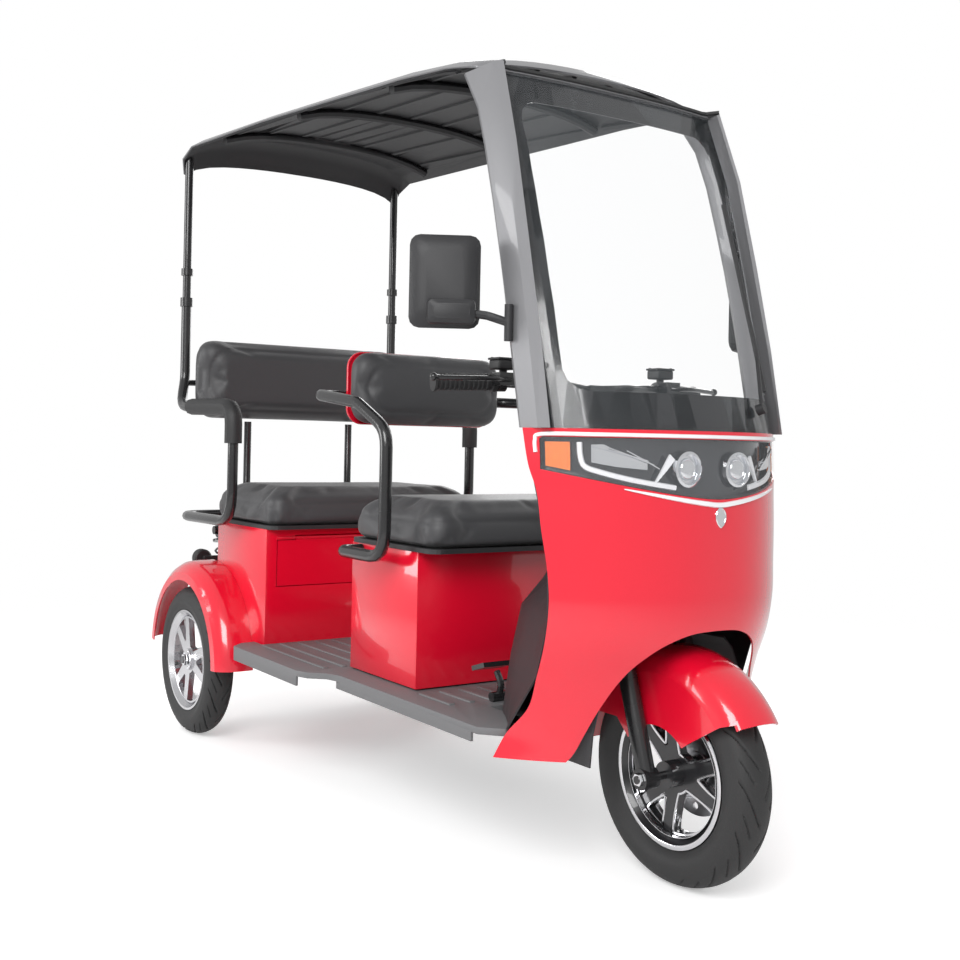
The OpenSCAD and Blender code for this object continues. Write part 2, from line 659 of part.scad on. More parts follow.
module front_seat_frame() at_axle() color(black) {
    xb = rest1_x - shell_t - gap - tube_r;
    both_sides() tube(rounded([[box1_rear + 44, box1_half + gap, 574], [box1_rear + 44, hoop_y, 574],
        [-566, hoop_y, 574], [-566, hoop_y, 850], [-700, hoop_y, 912], [-880, hoop_y, 932],
        [xb, rest1_half + 44, 936], [xb, rest1_half - 60, 936]], 60), tube_r);
}
arm_y = 376;
arm_z = 908;
arm_x = rear_x + 248;
module rear_seat_frame() at_axle() color(black) {
    half = [[seat_bar_x, arm_y, seat_bar_z], [arm_x, arm_y, seat_bar_z + 4], [arm_x, arm_y, arm_z],
            [post_x + 40, arm_y, arm_z + 6], [post_x, post_y, arm_z + 90], [post_x, post_y, post_low]];
    tube(rounded(concat([for (i = [len(half) - 1 : -1 : 0]) [half[i][0], -half[i][1], half[i][2]]], half), 80), tube_r);
    // uprights under the backrest and the bar behind it
    both_sides() tube([[seat_bar_x, 170, seat_bar_z + 4], [seat_bar_x, 170, rest2_z - gap]], 11);
    z = arm_z + 78;
    x = rest2_x - gap - 9;
    tube([[post_x - 2, -post_y, z], [x, -post_y + 40, z], [x, post_y - 40, z], [post_x - 2, post_y, z]], 9);
}
pad_path = rounded([[arm_x, arm_y, arm_z - 96], [arm_x, arm_y, arm_z], [post_x + 130, arm_y, arm_z + 4.4]], 80);
module armrest_pads() at_axle() color(black) {
    both_sides() difference() {
        tube(pad_path, tube_r + 9, 10);
        tube(rounded([[arm_x, arm_y, arm_z - 200], [arm_x, arm_y, arm_z], [post_x + 40, arm_y, arm_z + 6]], 80),
            (tube_r + gap) / cos(18), 10);
    }
}

// Rear axle with its motor, shocks, fenders and lamps
wheel_y = rear_track / 2;
axle_end = wheel_y + 42.5;
stub_l = 14;
stub_r = 10;
module rear_axle() at_axle() color(dark) {
    drum(rear_x, rear_tyre_r, -wheel_y + rim_w / 2 + 10, wheel_y - rim_w / 2 - 10, 24);
    drum(rear_x, rear_tyre_r, -axle_end + stub_l, axle_end - stub_l, rear_axle_r);
    drum(rear_x, rear_tyre_r, -axle_end, axle_end, stub_r);
    drum(rear_x, rear_tyre_r, -96, 74, 68);
    both_sides() difference() {
        union() {
            drum(pivot_x, pivot_z, rail_y + 16, rail_y + 28, 18);
            block([rear_x, rail_y + 16, rear_tyre_r - 16], [pivot_x, rail_y + 28, rear_tyre_r + 20]);
        }
        drum(pivot_x, pivot_z, rail_y, rail_y + 60, pivot_r + gap);
    }
}
module rear_shocks() at_axle() color(black) {
    low = [rear_x, shock_y, rear_tyre_r];
    high = [shock_x, shock_y, shock_top];
    d = unit(high - low);
    l = norm(high - low);
    both_sides() {
        difference() {
            union() {
                drum(low[0], low[2], shock_y - 12, shock_y + 12, 34);
                drum(high[0], high[2], shock_y - 12, shock_y + 12, 22);
                rod(low + d * 30, low + d * (l * 0.5), 17);
                rod(low + d * 40, high - d * 16, 9);
                rod(low + d * 60, low + d * 66, 27);
                rod(high - d * 32, high - d * 26, 27);
            }
            drum(low[0], low[2], 0, 400, 24 + gap);
            drum(high[0], high[2], 0, 400, 12 + gap);
        }
        turns = 7;
        n = turns * 10;
        s = (l - 92 - 7) / n;
        e = unit(cross(d, [0, 1, 0]));
        tube([for (i = [0 : n]) low + d * (66.5 + 3.2 + s * i) + e * 22 * cos(36 * i) + [0, 22 * sin(36 * i), 0]], 3.2, 6);
    }
}
fender_out = wheel_y + rear_tyre_w / 2 + 8;
module rear_fenders() at_axle() color(red) {
    t = 3;
    w0 = box2_half + gap;
    w1 = fender_out;
    outer = [[rear_tyre_r + 18, w1], [rear_tyre_r + 40, w1 - 2], [fender_r - 14, w1 - 16], [fender_r - 3, w1 - 34], [fender_r, w1 - 56]];
    edge = concat([for (p = outer) p], [[fender_r, w0]], [[fender_r - t, w0]],
        [for (i = [len(outer) - 1 : -1 : 0]) [outer[i][0] - (i < 3 ? t * i / 3 : t), outer[i][1] - (i < 3 ? t : t * 0.6)]]);
    both_sides() translate([rear_x, 0, rear_tyre_r]) rotate([-90, 0, 0]) rotate([0, 0, fender_end - 180])
        rotate_extrude(angle = 178 - fender_end, $fn = 64) polygon(edge);
}
module tail_lamps() at_axle() color("orange") {
    both_sides() {
        translate([rail_rear - 20, 296, 470]) rotate([0, -90, 0]) cylinder(h = 34, r = 26);
        block([rail_rear - 20, rail_y + rail_w - 4 + gap, 462], [rail_rear - 8, 300, 478]);
    }
}

// Steering
module along_axis(z) {
    translate(axis_at(z)) rotate([0, -rake, 0]) children();
}
crown_z = 508;
fork_lean = axis_set / cos(rake);
clamp_z = bar_z - 21;
module fork() at_axle() color(black) {
    // the legs stand ahead of the axis so that they meet the axle
    foot = [0, 0, front_tyre_r];
    leg = axis_dir;
    l = (crown_z + 10 - front_tyre_r) / cos(rake);
    both_sides() {
        rod(foot + [0, fork_y, 0] - leg * 8, foot + [0, fork_y, 0] + leg * (l * 0.62), fork_r);
        rod(foot + [0, fork_y, 0] + leg * (l * 0.6), foot + [0, fork_y, 0] + leg * l, 14);
        drum(0, front_tyre_r, fork_y - 16, fork_y + 19, 20);
    }
    drum(0, front_tyre_r, -fork_y - 27, fork_y + 27, front_axle_r);
    along_axis(crown_z) {
        translate([-24, -fork_y - 20, 0]) cube([fork_lean + 44, 2 * fork_y + 40, 16]);
        cylinder(h = (head_low - crown_z) / cos(rake) - gap, r = stem_r + 7);
        cylinder(h = (clamp_z - crown_z) / cos(rake), r = stem_r);
    }
    along_axis(head_top) translate([0, 0, gap]) cylinder(h = 14, r = stem_r + 9);
}
module front_fender() at_axle() color(red) {
    r = front_tyre_r + 36;
    w = 64;
    t = 3;
    outer = [[96, w], [r - 52, w], [r - 26, w - 3], [r - 10, w - 18], [r - 2, w - 40], [r, 0]];
    half = [for (p = outer) p];
    inner = [for (p = outer) [p[0] - (p[1] < w - 2 ? t : 0), max(0, p[1] - (p[1] > 4 ? t : 0))]];
    full = concat(half, [for (i = [len(half) - 2 : -1 : 0]) [half[i][0], -half[i][1]]],
        [for (i = [0 : len(inner) - 1]) [inner[i][0], -inner[i][1]]],
        [for (i = [len(inner) - 2 : -1 : 0]) inner[i]]);
    difference() {
        translate([0, 0, front_tyre_r]) rotate([-90, 0, 0]) rotate([0, 0, -176])
            rotate_extrude(angle = 143, $fn = 64) polygon(full);
        // the skirt's lower edge rises towards the front
        along_y_cut([[-400, 232], [-16, 232], [20, 246], [90, 292], [160, 334], [215, 352], [330, 352], [330, -50], [-400, -50]], 50);
        along_y_cut([[-400, 300], [-110, 300], [-60, 250], [-16, 236], [-16, 0], [-400, 0]], 60);
        both_sides() rod([0, fork_y, front_tyre_r] - axis_dir * 40, [0, fork_y, front_tyre_r] + axis_dir * 400, fork_r + 2);
    }
    // stays to the crown
    both_sides() block([-110, 20, front_tyre_r + r - 34], [-70, 34, crown_z - 4]);
}
// A cut through both skirts, outside the distance y0 from the middle
module along_y_cut(p, y0) {
    both_sides() translate([0, y0 + 60, 0]) rotate([90, 0, 0]) linear_extrude(height = 60) polygon(p);
}
bar_mid = axis_at(bar_z - 8);
bar_path = rounded([[bar_mid[0] - 76, -bar_half, bar_z], [bar_mid[0] - 40, -bar_half + 150, bar_z + 4],
    [bar_mid[0] + 2, -90, bar_z], [bar_mid[0], 0, bar_z - 6], [bar_mid[0] + 2, 90, bar_z],
    [bar_mid[0] - 40, bar_half - 150, bar_z + 4], [bar_mid[0] - 76, bar_half, bar_z]], 60);
module handlebar() at_axle() color(black) {
    tube(bar_path, bar_r);
    along_axis(clamp_z) translate([-22, -34, gap]) cube([44, 68, 19]);
}
module hand_grips() at_axle() color(black) {
    both_sides() {
        a = [bar_mid[0] - 76, bar_half, bar_z];
        b = [bar_mid[0] - 40, bar_half - 150, bar_z + 4];
        d = unit(b - a);
        difference() {
            rod(a - d * 4, a + d * 118, grip_r);
            rod(a - d * 0.2, a + d * 130, bar_r + gap);
        }
    }
}
module brake_levers() at_axle() color(black) {
    both_sides() {
        a = [bar_mid[0] - 76, bar_half, bar_z];
        b = [bar_mid[0] - 40, bar_half - 150, bar_z + 4];
        d = unit(b - a);
        c = a + d * 142;
        difference() {
            union() {
                rod(a + d * 124, a + d * 149, bar_r + 8);
                translate(c + [12, -8, -8]) cube([26, 38, 26]);
            }
            rod(a + d * 100, a + d * 180, bar_r + 0.8);
        }
        tube(rounded([c + [36, 4, 4], c + [46, 60, 4], a + [46, 14, 6], a + [40, 26, 7]], 30), 5, 8);
        translate(a + [40, 28, 7]) sphere(r = 8, $fn = 24);
    }
}
disc_y = rim_w / 2 + 17;
module brake_caliper() at_axle() color(dark) {
    difference() {
        translate([-94, disc_y - 15, front_tyre_r + 18]) cube([44, 30, 60]);
        translate([-120, disc_y - 3.5, front_tyre_r - 60]) cube([120, 7, 150]);
    }
    block([-56, disc_y + 4, front_tyre_r + 24], [-10, fork_y - fork_r - gap, front_tyre_r + 60]);
}

// Wheels. A cast wheel is a disc with windows, between rim and hub
function arc(r, a0, a1, n = 6) = [for (i = [0 : n]) polar(r, lerp(a0, a1, i / n))];
module cast_web(n, r_out, r_hub, big, small) {
    difference() {
        circle(r = r_out + 1, $fn = 96);
        for (k = [0 : n - 1]) rotate(k * 360 / n) {
            polygon(concat(arc(r_out - 3, 180 / n - big, 180 / n + big), arc(r_hub + 12, 180 / n + big * 0.55, 180 / n - big * 0.55, 3)));
            polygon(concat(arc(r_out - 3, -small, small, 4), arc(r_hub + 30, small * 0.3, -small * 0.3, 1)));
        }
    }
}
module rim_ring(w) {
    f = bead_r + flange_h;
    h = w / 2;
    rotate_extrude($fn = 96) polygon([
        [bead_r - 9, -h + 14], [f - 6, -h - 5], [f, -h - 5], [f, -h], [bead_r, -h + 3], [bead_r, h - 3], [f, h],
        [f, h + 5], [f - 6, h + 5], [bead_r - 9, h - 14]
    ]);
}
module tyre(r, w) {
    b = rim_w / 2 - gap;
    h = w / 2;
    f = bead_r + flange_h;
    s = r - f;
    rotate_extrude($fn = 80) polygon([
        [bead_r + gap, -b + 3], [f, -b], [f + s * 0.3, -h], [f + s * 0.62, -h + 2], [r - 12, -h + 13], [r - 3, -h * 0.42], [r, 0],
        [r - 3, h * 0.42], [r - 12, h - 13], [f + s * 0.62, h - 2], [f + s * 0.3, h], [f, b], [bead_r + gap, b - 3]
    ]);
}
// A wheel lies about Z and is then stood on its side
module stand(x, y, z) {
    translate([x, y, z]) rotate([90, 0, 0]) children();
}
module front_rim() at_axle() color(black) stand(0, 0, front_tyre_r) {
    difference() {
        union() {
            rim_ring(rim_w);
            translate([0, 0, -8]) linear_extrude(height = 18) cast_web(3, bead_r - 9, 24, 36, 15);
            translate([0, 0, -rim_w / 2 - 12]) cylinder(h = rim_w + 24, r = 25);
        }
        cylinder(h = 300, r = front_axle_r + axle_clear, center = true);
    }
}
module front_tyre() at_axle() color(black) stand(0, 0, front_tyre_r) tyre(front_tyre_r, front_tyre_w);
module brake_disc() at_axle() color("silver") {
    difference() {
        drum(0, front_tyre_r, disc_y - 2, disc_y + 2, 88);
        drum(0, front_tyre_r, disc_y - 9, disc_y + 9, 25 + gap);
        for (a = [0 : 45 : 315]) translate([70 * cos(a), 0, 70 * sin(a)]) drum(0, front_tyre_r, disc_y - 9, disc_y + 9, 6.5);
    }
    difference() {
        drum(0, front_tyre_r, rim_w / 2 + 12 + gap, disc_y + 2, 34);
        drum(0, front_tyre_r, 0, disc_y + 9, front_axle_r + 2);
    }
}
module rear_rim(side) at_axle() color(silver) stand(rear_x, side * wheel_y, rear_tyre_r) {
    difference() {
        union() {
            rim_ring(rim_w);
            translate([0, 0, -side * 14 - 8]) linear_extrude(height = 16) cast_web(3, bead_r - 9, 26, 34, 14);
            translate([0, 0, -rim_w / 2]) cylinder(h = rim_w, r = 30);
        }
        cylinder(h = 300, r = rear_axle_r + axle_clear, center = true);
    }
}
module rear_tyre(side) at_axle() color(black) stand(rear_x, side * wheel_y, rear_tyre_r) tyre(rear_tyre_r, rear_tyre_w);
module rear_rim_right() rear_rim(-1);
module rear_rim_left() rear_rim(1);
module rear_tyre_right() rear_tyre(-1);
module rear_tyre_left() rear_tyre(1);

frame();
footboard();
nose_shell();
wheelhouse();
leg_shield();
headlamp_body();
headlamp_lens();
windscreen();
screen_border();
front_pillars();
wiper();
roof_shell();
roof_liner();
roof_posts();
mirrors();
brake_pedal();
front_seat_box();
battery_pack();
front_seat_frame();
front_backrest();
rear_seat_box();
rear_seat_frame();
rear_backrest();
armrest_pads();
rear_fenders();
rear_axle();
rear_shocks();
tail_lamps();
fork();
front_fender();
handlebar();
hand_grips();
brake_levers();
brake_caliper();
front_rim();
front_tyre();
brake_disc();
rear_rim_right();
rear_tyre_right();
rear_rim_left();
rear_tyre_left();
front_seat_pan();
front_cushion();
rear_seat_pan();
rear_cushion();
storage_door();
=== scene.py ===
# %% [markdown]
# An electric passenger tricycle, dressed over its engineering model.
# The model's pieces are already in place and at their real size, so this file gives each of them
# a finish, replaces the plain cushions and tyres with modelled ones, and adds the small things
# that a solid model leaves out: screws, trim, lamp internals, treads and seams.

# %% The frame and its box
import bpy
import bmesh
import json
import math
from mathutils import Matrix, Vector
from mathutils.bvhtree import BVHTree


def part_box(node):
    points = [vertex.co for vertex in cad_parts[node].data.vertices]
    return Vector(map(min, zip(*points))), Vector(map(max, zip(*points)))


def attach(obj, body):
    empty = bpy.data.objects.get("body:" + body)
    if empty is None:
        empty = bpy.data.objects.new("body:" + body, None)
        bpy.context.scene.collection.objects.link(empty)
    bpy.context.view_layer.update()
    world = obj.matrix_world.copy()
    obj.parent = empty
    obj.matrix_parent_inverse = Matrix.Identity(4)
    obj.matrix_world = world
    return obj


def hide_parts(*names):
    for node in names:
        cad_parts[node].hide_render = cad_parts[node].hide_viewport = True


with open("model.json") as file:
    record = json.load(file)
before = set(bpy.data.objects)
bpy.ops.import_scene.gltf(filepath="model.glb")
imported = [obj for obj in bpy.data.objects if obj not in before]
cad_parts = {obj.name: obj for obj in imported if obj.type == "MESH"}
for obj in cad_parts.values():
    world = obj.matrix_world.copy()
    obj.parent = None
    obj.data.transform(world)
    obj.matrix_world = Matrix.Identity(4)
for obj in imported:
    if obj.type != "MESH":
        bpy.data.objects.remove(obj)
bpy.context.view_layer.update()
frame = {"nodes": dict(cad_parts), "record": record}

NODES = frame["nodes"]
print("pieces from the model:", len(NODES))

# %% [markdown]
# Every place in this file comes from the model's own pieces. Lengths along the vehicle are
# given from the front axle, so one helper turns such a place into the shared frame.

# %% Places that the pieces share
def middle(node):
    """The middle of a model piece's box."""
    low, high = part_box(node)
    return (Vector(low) + Vector(high)) / 2


front_axle = middle("front_tyre")


def at(x, y, z):
    """A place in millimetres from the front axle, in metres of the shared frame."""
    return Vector((front_axle.x + x / 1000, y / 1000, z / 1000))


print("front axle at", [round(v, 3) for v in front_axle])

# %% [markdown]
# The camera stands low at the front right corner and looks slightly across the vehicle, as a
# catalogue picture does. Its place, turn and lens were found by fitting the model, scaled by an
# assumed size of the tyres, to the picture. A small shift moves it off the frame's middle.

# %% The camera
CAM_PLACE = at(1639.7, -1608.5, 826.6)
CAM_YAW = math.radians(33.48)
CAM_PITCH = math.radians(0.22)
CAM_ROLL = math.radians(1.18)


def camera_axes():
    """The camera's right, up and backward directions."""
    forward = Vector((-math.cos(CAM_YAW) * math.cos(CAM_PITCH),
                      math.sin(CAM_YAW) * math.cos(CAM_PITCH), math.sin(CAM_PITCH)))
    right = Vector((math.sin(CAM_YAW), math.cos(CAM_YAW), 0.0))
    up = right.cross(forward)
    turned_right = math.cos(CAM_ROLL) * right + math.sin(CAM_ROLL) * up
    turned_up = math.cos(CAM_ROLL) * up - math.sin(CAM_ROLL) * right
    return turned_right, turned_up, -forward


camera_data = bpy.data.cameras.new("camera")
camera = bpy.data.objects.new("camera", camera_data)
bpy.context.scene.collection.objects.link(camera)
axes = camera_axes()
camera.matrix_world = Matrix.Translation(CAM_PLACE) @ Matrix(axes).transposed().to_4x4()
camera_data.sensor_width = 36.0
camera_data.lens = 44.47
camera_data.shift_x = 0.0244
camera_data.shift_y = -0.044
camera_data.clip_start = 0.05
bpy.context.scene.camera = camera
bpy.context.scene.view_settings.view_transform = "Standard"

# %% [markdown]
# Light for a catalogue picture is large and soft. The world gives an even white sky, one broad
# lamp above the front right side draws the long highlights on the paint, and a weaker one
# behind lifts the far edges. The floor is pale and keeps the vehicle's shadow.

# %% Light and floor
def area_lamp(name, place, target, size, power):
    """A square soft lamp at a place, turned to a target."""
    data = bpy.data.lights.new(name, "AREA")
    data.shape = "SQUARE"
    data.size = size
    data.energy = power
    lamp = bpy.data.objects.new(name, data)
    bpy.context.scene.collection.objects.link(lamp)
    lamp.location = place
    lamp.rotation_euler = (Vector(target) - Vector(place)).to_track_quat("-Z", "Y").to_euler()
    return lamp


area_lamp("key", (3.2, -3.6, 3.4), (0.0, 0.0, 0.7), 2.6, 190.0)
area_lamp("fill", (-3.0, 3.4, 2.6), (0.0, 0.0, 0.8), 2.6, 70.0)
area_lamp("side", (-2.2, -3.8, 1.6), (-0.4, 0.0, 0.6), 1.8, 60.0)

world = bpy.data.worlds.new("studio")
bpy.context.scene.world = world
world.use_nodes = True
wn = world.node_tree.nodes
wl = world.node_tree.links
for n in list(wn):
    wn.remove(n)
w_out = wn.new("ShaderNodeOutputWorld")
w_light = wn.new("ShaderNodeBackground")
w_seen = wn.new("ShaderNodeBackground")
w_mix = wn.new("ShaderNodeMixShader")
w_path = wn.new("ShaderNodeLightPath")
w_any = wn.new("ShaderNodeMath")
w_any.operation = "MAXIMUM"
w_light.inputs["Color"].default_value = (1.0, 1.0, 1.0, 1.0)
w_light.inputs["Strength"].default_value = 0.62
w_seen.inputs["Color"].default_value = (1.0, 1.0, 1.0, 1.0)
w_seen.inputs["Strength"].default_value = 1.0
wl.new(w_path.outputs["Is Camera Ray"], w_any.inputs[0])
wl.new(w_path.outputs["Is Transmission Ray"], w_any.inputs[1])
wl.new(w_any.outputs[0], w_mix.inputs[0])
wl.new(w_light.outputs[0], w_mix.inputs[1])
wl.new(w_seen.outputs[0], w_mix.inputs[2])
wl.new(w_mix.outputs[0], w_out.inputs[0])


def stage_floor():
    """A wide pale floor that is white to the camera and still takes the shadow."""
    bm = bmesh.new()
    bmesh.ops.create_grid(bm, x_segments=1, y_segments=1, size=14.0)
    mesh = bpy.data.meshes.new("floor")
    bm.to_mesh(mesh)
    bm.free()
    floor = bpy.data.objects.new("floor", mesh)
    bpy.context.scene.collection.objects.link(floor)
    mat = bpy.data.materials.new("floor_white")
    mat.use_nodes = True
    nodes = mat.node_tree.nodes
    links = mat.node_tree.links
    nodes.remove(nodes["Principled BSDF"])
    diffuse = nodes.new("ShaderNodeBsdfDiffuse")
    diffuse.inputs["Color"].default_value = (0.92, 0.92, 0.92, 1.0)
    glow = nodes.new("ShaderNodeEmission")
    glow.inputs["Color"].default_value = (1.0, 1.0, 1.0, 1.0)
    path = nodes.new("ShaderNodeLightPath")
    power = nodes.new("ShaderNodeMath")
    power.operation = "MULTIPLY"
    power.inputs[1].default_value = 0.34
    add = nodes.new("ShaderNodeAddShader")
    links.new(path.outputs["Is Camera Ray"], power.inputs[0])
    links.new(power.outputs[0], glow.inputs["Strength"])
    place = nodes.new("ShaderNodeTexCoord")
    reach = nodes.new("ShaderNodeVectorMath")
    reach.operation = "LENGTH"
    fade = nodes.new("ShaderNodeMapRange")
    fade.interpolation_type = "SMOOTHSTEP"
    fade.inputs["From Min"].default_value = 1.6
    fade.inputs["From Max"].default_value = 3.4
    clear = nodes.new("ShaderNodeBsdfTransparent")
    mix = nodes.new("ShaderNodeMixShader")
    links.new(place.outputs["Object"], reach.inputs[0])
    links.new(reach.outputs["Value"], fade.inputs["Value"])
    links.new(diffuse.outputs[0], add.inputs[0])
    links.new(glow.outputs[0], add.inputs[1])
    links.new(fade.outputs["Result"], mix.inputs[0])
    links.new(add.outputs[0], mix.inputs[1])
    links.new(clear.outputs[0], mix.inputs[2])
    links.new(mix.outputs[0], nodes["Material Output"].inputs["Surface"])
    mesh.materials.append(mat)


stage_floor()

# %% [markdown]
# Small effects that several finishes share are node groups. The first is a fine grain, such as
# the texture of a moulding tool or the pebble of leatherette: it puts out a height for a bump
# and a mask for small changes of colour. The second breaks up gloss in large soft patches,
# as on any surface that has been handled.

# %% Shared shader groups
def new_group(name, inputs, outputs):
    """An empty shader group with float inputs (name, value) and named outputs."""
    group = bpy.data.node_groups.new(name, "ShaderNodeTree")
    for label, value in inputs:
        socket = group.interface.new_socket(label, in_out="INPUT", socket_type="NodeSocketFloat")
        socket.default_value = value
    for label in outputs:
        group.interface.new_socket(label, in_out="OUTPUT", socket_type="NodeSocketFloat")
    return group, group.nodes.new("NodeGroupInput"), group.nodes.new("NodeGroupOutput")


def make_grain_group():
    """Pebbled grain on object coordinates: Height for a bump and Mask for colour."""
    group, inside, outside = new_group("fine_grain", [("Scale", 900.0), ("Mix", 0.5)], ["Height", "Mask"])
    place = group.nodes.new("ShaderNodeTexCoord")
    cells = group.nodes.new("ShaderNodeTexVoronoi")
    cells.feature = "F1"
    cloud = group.nodes.new("ShaderNodeTexNoise")
    cloud.inputs["Detail"].default_value = 3.0
    blend = group.nodes.new("ShaderNodeMix")
    links = group.links
    links.new(place.outputs["Object"], cells.inputs["Vector"])
    links.new(place.outputs["Object"], cloud.inputs["Vector"])
    links.new(inside.outputs["Scale"], cells.inputs["Scale"])
    links.new(inside.outputs["Scale"], cloud.inputs["Scale"])
    links.new(inside.outputs["Mix"], blend.inputs["Factor"])
    links.new(cells.outputs["Distance"], blend.inputs[2])
    links.new(cloud.outputs["Fac"], blend.inputs[3])
    links.new(blend.outputs[0], outside.inputs["Height"])
    links.new(cloud.outputs["Fac"], outside.inputs["Mask"])
    return group


def make_patch_group():
    """Soft large patches that shift a roughness round its middle value."""
    group, inside, outside = new_group("soft_patches", [("Scale", 6.0), ("Middle", 0.4), ("Swing", 0.1)],
                                       ["Value"])
    place = group.nodes.new("ShaderNodeTexCoord")
    cloud = group.nodes.new("ShaderNodeTexNoise")
    cloud.inputs["Detail"].default_value = 4.0
    centre = group.nodes.new("ShaderNodeMath")
    centre.operation = "SUBTRACT"
    centre.inputs[1].default_value = 0.5
    spread = group.nodes.new("ShaderNodeMath")
    spread.operation = "MULTIPLY_ADD"
    links = group.links
    links.new(place.outputs["Object"], cloud.inputs["Vector"])
    links.new(inside.outputs["Scale"], cloud.inputs["Scale"])
    links.new(cloud.outputs["Fac"], centre.inputs[0])
    links.new(centre.outputs[0], spread.inputs[0])
    links.new(inside.outputs["Swing"], spread.inputs[1])
    links.new(inside.outputs["Middle"], spread.inputs[2])
    links.new(spread.outputs[0], outside.inputs["Value"])
    return group


grain_group = make_grain_group()
patch_group = make_patch_group()
print("shader groups:", grain_group.name, patch_group.name)

# %% [markdown]
# Each finish is one call of the same recipe: a base colour that drifts a little between two
# tones, a roughness that drifts in patches, a bump from the grain and, for paint, a clear coat.

# %% A finish from named values
FINISHES = {}


def finish(name, tone, other_tone, rough, swing=0.08, metal=0.0, coat=0.0, grain=0.0,
           grain_scale=900.0, pebble=0.5, sheen=0.0, specular=0.5, depth=0.001):
    """A node material: two tones, drifting roughness, grain bump, coat and sheen."""
    mat = bpy.data.materials.new(name)
    mat.use_nodes = True
    nodes = mat.node_tree.nodes
    links = mat.node_tree.links
    shader = nodes["Principled BSDF"]
    shader.inputs["Metallic"].default_value = metal
    shader.inputs["Coat Weight"].default_value = coat
    shader.inputs["Coat Roughness"].default_value = 0.04
    shader.inputs["Sheen Weight"].default_value = sheen
    shader.inputs["Specular IOR Level"].default_value = specular
    patches = nodes.new("ShaderNodeGroup")
    patches.node_tree = patch_group
    patches.inputs["Middle"].default_value = rough
    patches.inputs["Swing"].default_value = swing
    links.new(patches.outputs["Value"], shader.inputs["Roughness"])
    pebbles = nodes.new("ShaderNodeGroup")
    pebbles.node_tree = grain_group
    pebbles.inputs["Scale"].default_value = grain_scale
    pebbles.inputs["Mix"].default_value = pebble
    tones = nodes.new("ShaderNodeMix")
    tones.data_type = "RGBA"
    tones.inputs[6].default_value = (*tone, 1.0)
    tones.inputs[7].default_value = (*other_tone, 1.0)
    links.new(pebbles.outputs["Mask"], tones.inputs[0])
    links.new(tones.outputs[2], shader.inputs["Base Color"])
    if grain > 0:
        bump = nodes.new("ShaderNodeBump")
        bump.inputs["Strength"].default_value = grain
        bump.inputs["Distance"].default_value = depth
        links.new(pebbles.outputs["Height"], bump.inputs["Height"])
        links.new(bump.outputs["Normal"], shader.inputs["Normal"])
    FINISHES[name] = mat
    return mat


finish("red_gloss", (0.80, 0.004, 0.028), (0.76, 0.003, 0.024), 0.22, coat=1.0, grain=0.02,
       grain_scale=260.0)
finish("silver_paint", (0.21, 0.21, 0.22), (0.26, 0.26, 0.27), 0.42, metal=0.35, coat=0.4, grain=0.05,
       grain_scale=1500.0)
finish("black_plastic", (0.020, 0.020, 0.022), (0.028, 0.028, 0.030), 0.48, grain=0.35, grain_scale=1100.0)
finish("frame_black", (0.012, 0.012, 0.013), (0.018, 0.018, 0.019), 0.27, coat=0.4, grain=0.05,
       grain_scale=500.0)
finish("floor_plastic", (0.145, 0.145, 0.150), (0.175, 0.175, 0.180), 0.55, grain=0.4, grain_scale=900.0)
finish("seat_cover", (0.040, 0.040, 0.043), (0.055, 0.055, 0.058), 0.46, grain=0.5, grain_scale=700.0,
       pebble=0.25,
       sheen=0.12, depth=0.0006)
finish("pad_rubber", (0.018, 0.018, 0.019), (0.026, 0.026, 0.027), 0.52, grain=0.3, grain_scale=800.0)
finish("tyre_rubber", (0.016, 0.016, 0.017), (0.030, 0.030, 0.030), 0.62, grain=0.4, grain_scale=450.0)
finish("axle_metal", (0.14, 0.14, 0.145), (0.18, 0.18, 0.185), 0.42, metal=0.8, grain=0.3,
       grain_scale=500.0)
finish("battery_case", (0.03, 0.03, 0.032), (0.04, 0.04, 0.042), 0.5, grain=0.3)
finish("disc_steel", (0.55, 0.55, 0.57), (0.66, 0.66, 0.68), 0.28, metal=1.0, grain=0.1, grain_scale=2500.0)
finish("rim_silver", (0.60, 0.60, 0.62), (0.72, 0.72, 0.74), 0.24, metal=1.0, coat=0.3, grain=0.06,
       grain_scale=700.0)
finish("rim_black", (0.016, 0.016, 0.018), (0.022, 0.022, 0.024), 0.3, coat=0.6, grain=0.04)
finish("bright_edge", (0.72, 0.72, 0.74), (0.84, 0.84, 0.86), 0.16, metal=1.0, grain=0.03,
       grain_scale=1200.0)
finish("screen_black", (0.010, 0.010, 0.012), (0.016, 0.016, 0.018), 0.16, coat=0.5, grain=0.02)
finish("lamp_amber", (0.85, 0.16, 0.01), (0.95, 0.26, 0.02), 0.12, coat=1.0, grain=0.25, grain_scale=160.0)
finish("lamp_body", (0.014, 0.014, 0.016), (0.022, 0.022, 0.024), 0.2, coat=0.6, grain=0.03)
finish("chrome", (0.80, 0.81, 0.83), (0.88, 0.89, 0.91), 0.07, swing=0.03, metal=1.0)
finish("lamp_white", (0.86, 0.87, 0.90), (0.94, 0.95, 0.97), 0.2, coat=0.8)


def clear_finish(name, colour, alpha, rough=0.02):
    """A clear sheet or lens: see-through by alpha, with the shader's own gloss."""
    mat = finish(name, colour, colour, rough, swing=0.01, coat=1.0)
    shader = mat.node_tree.nodes["Principled BSDF"]
    shader.inputs["Alpha"].default_value = alpha
    return mat


clear_finish("screen_clear", (0.60, 0.66, 0.70), 0.035)
clear_finish("lamp_lens", (0.55, 0.58, 0.62), 0.07)
print("finishes:", len(FINISHES))

# %% [markdown]
# Every model piece that stays visible takes the finish that its record names.

# %% Finishes on the model's own pieces
for row in frame["record"]["subparts"]:
    piece = NODES[row["node"]]
    piece.data.materials.clear()
    piece.data.materials.append(FINISHES[row["material_slot"]])

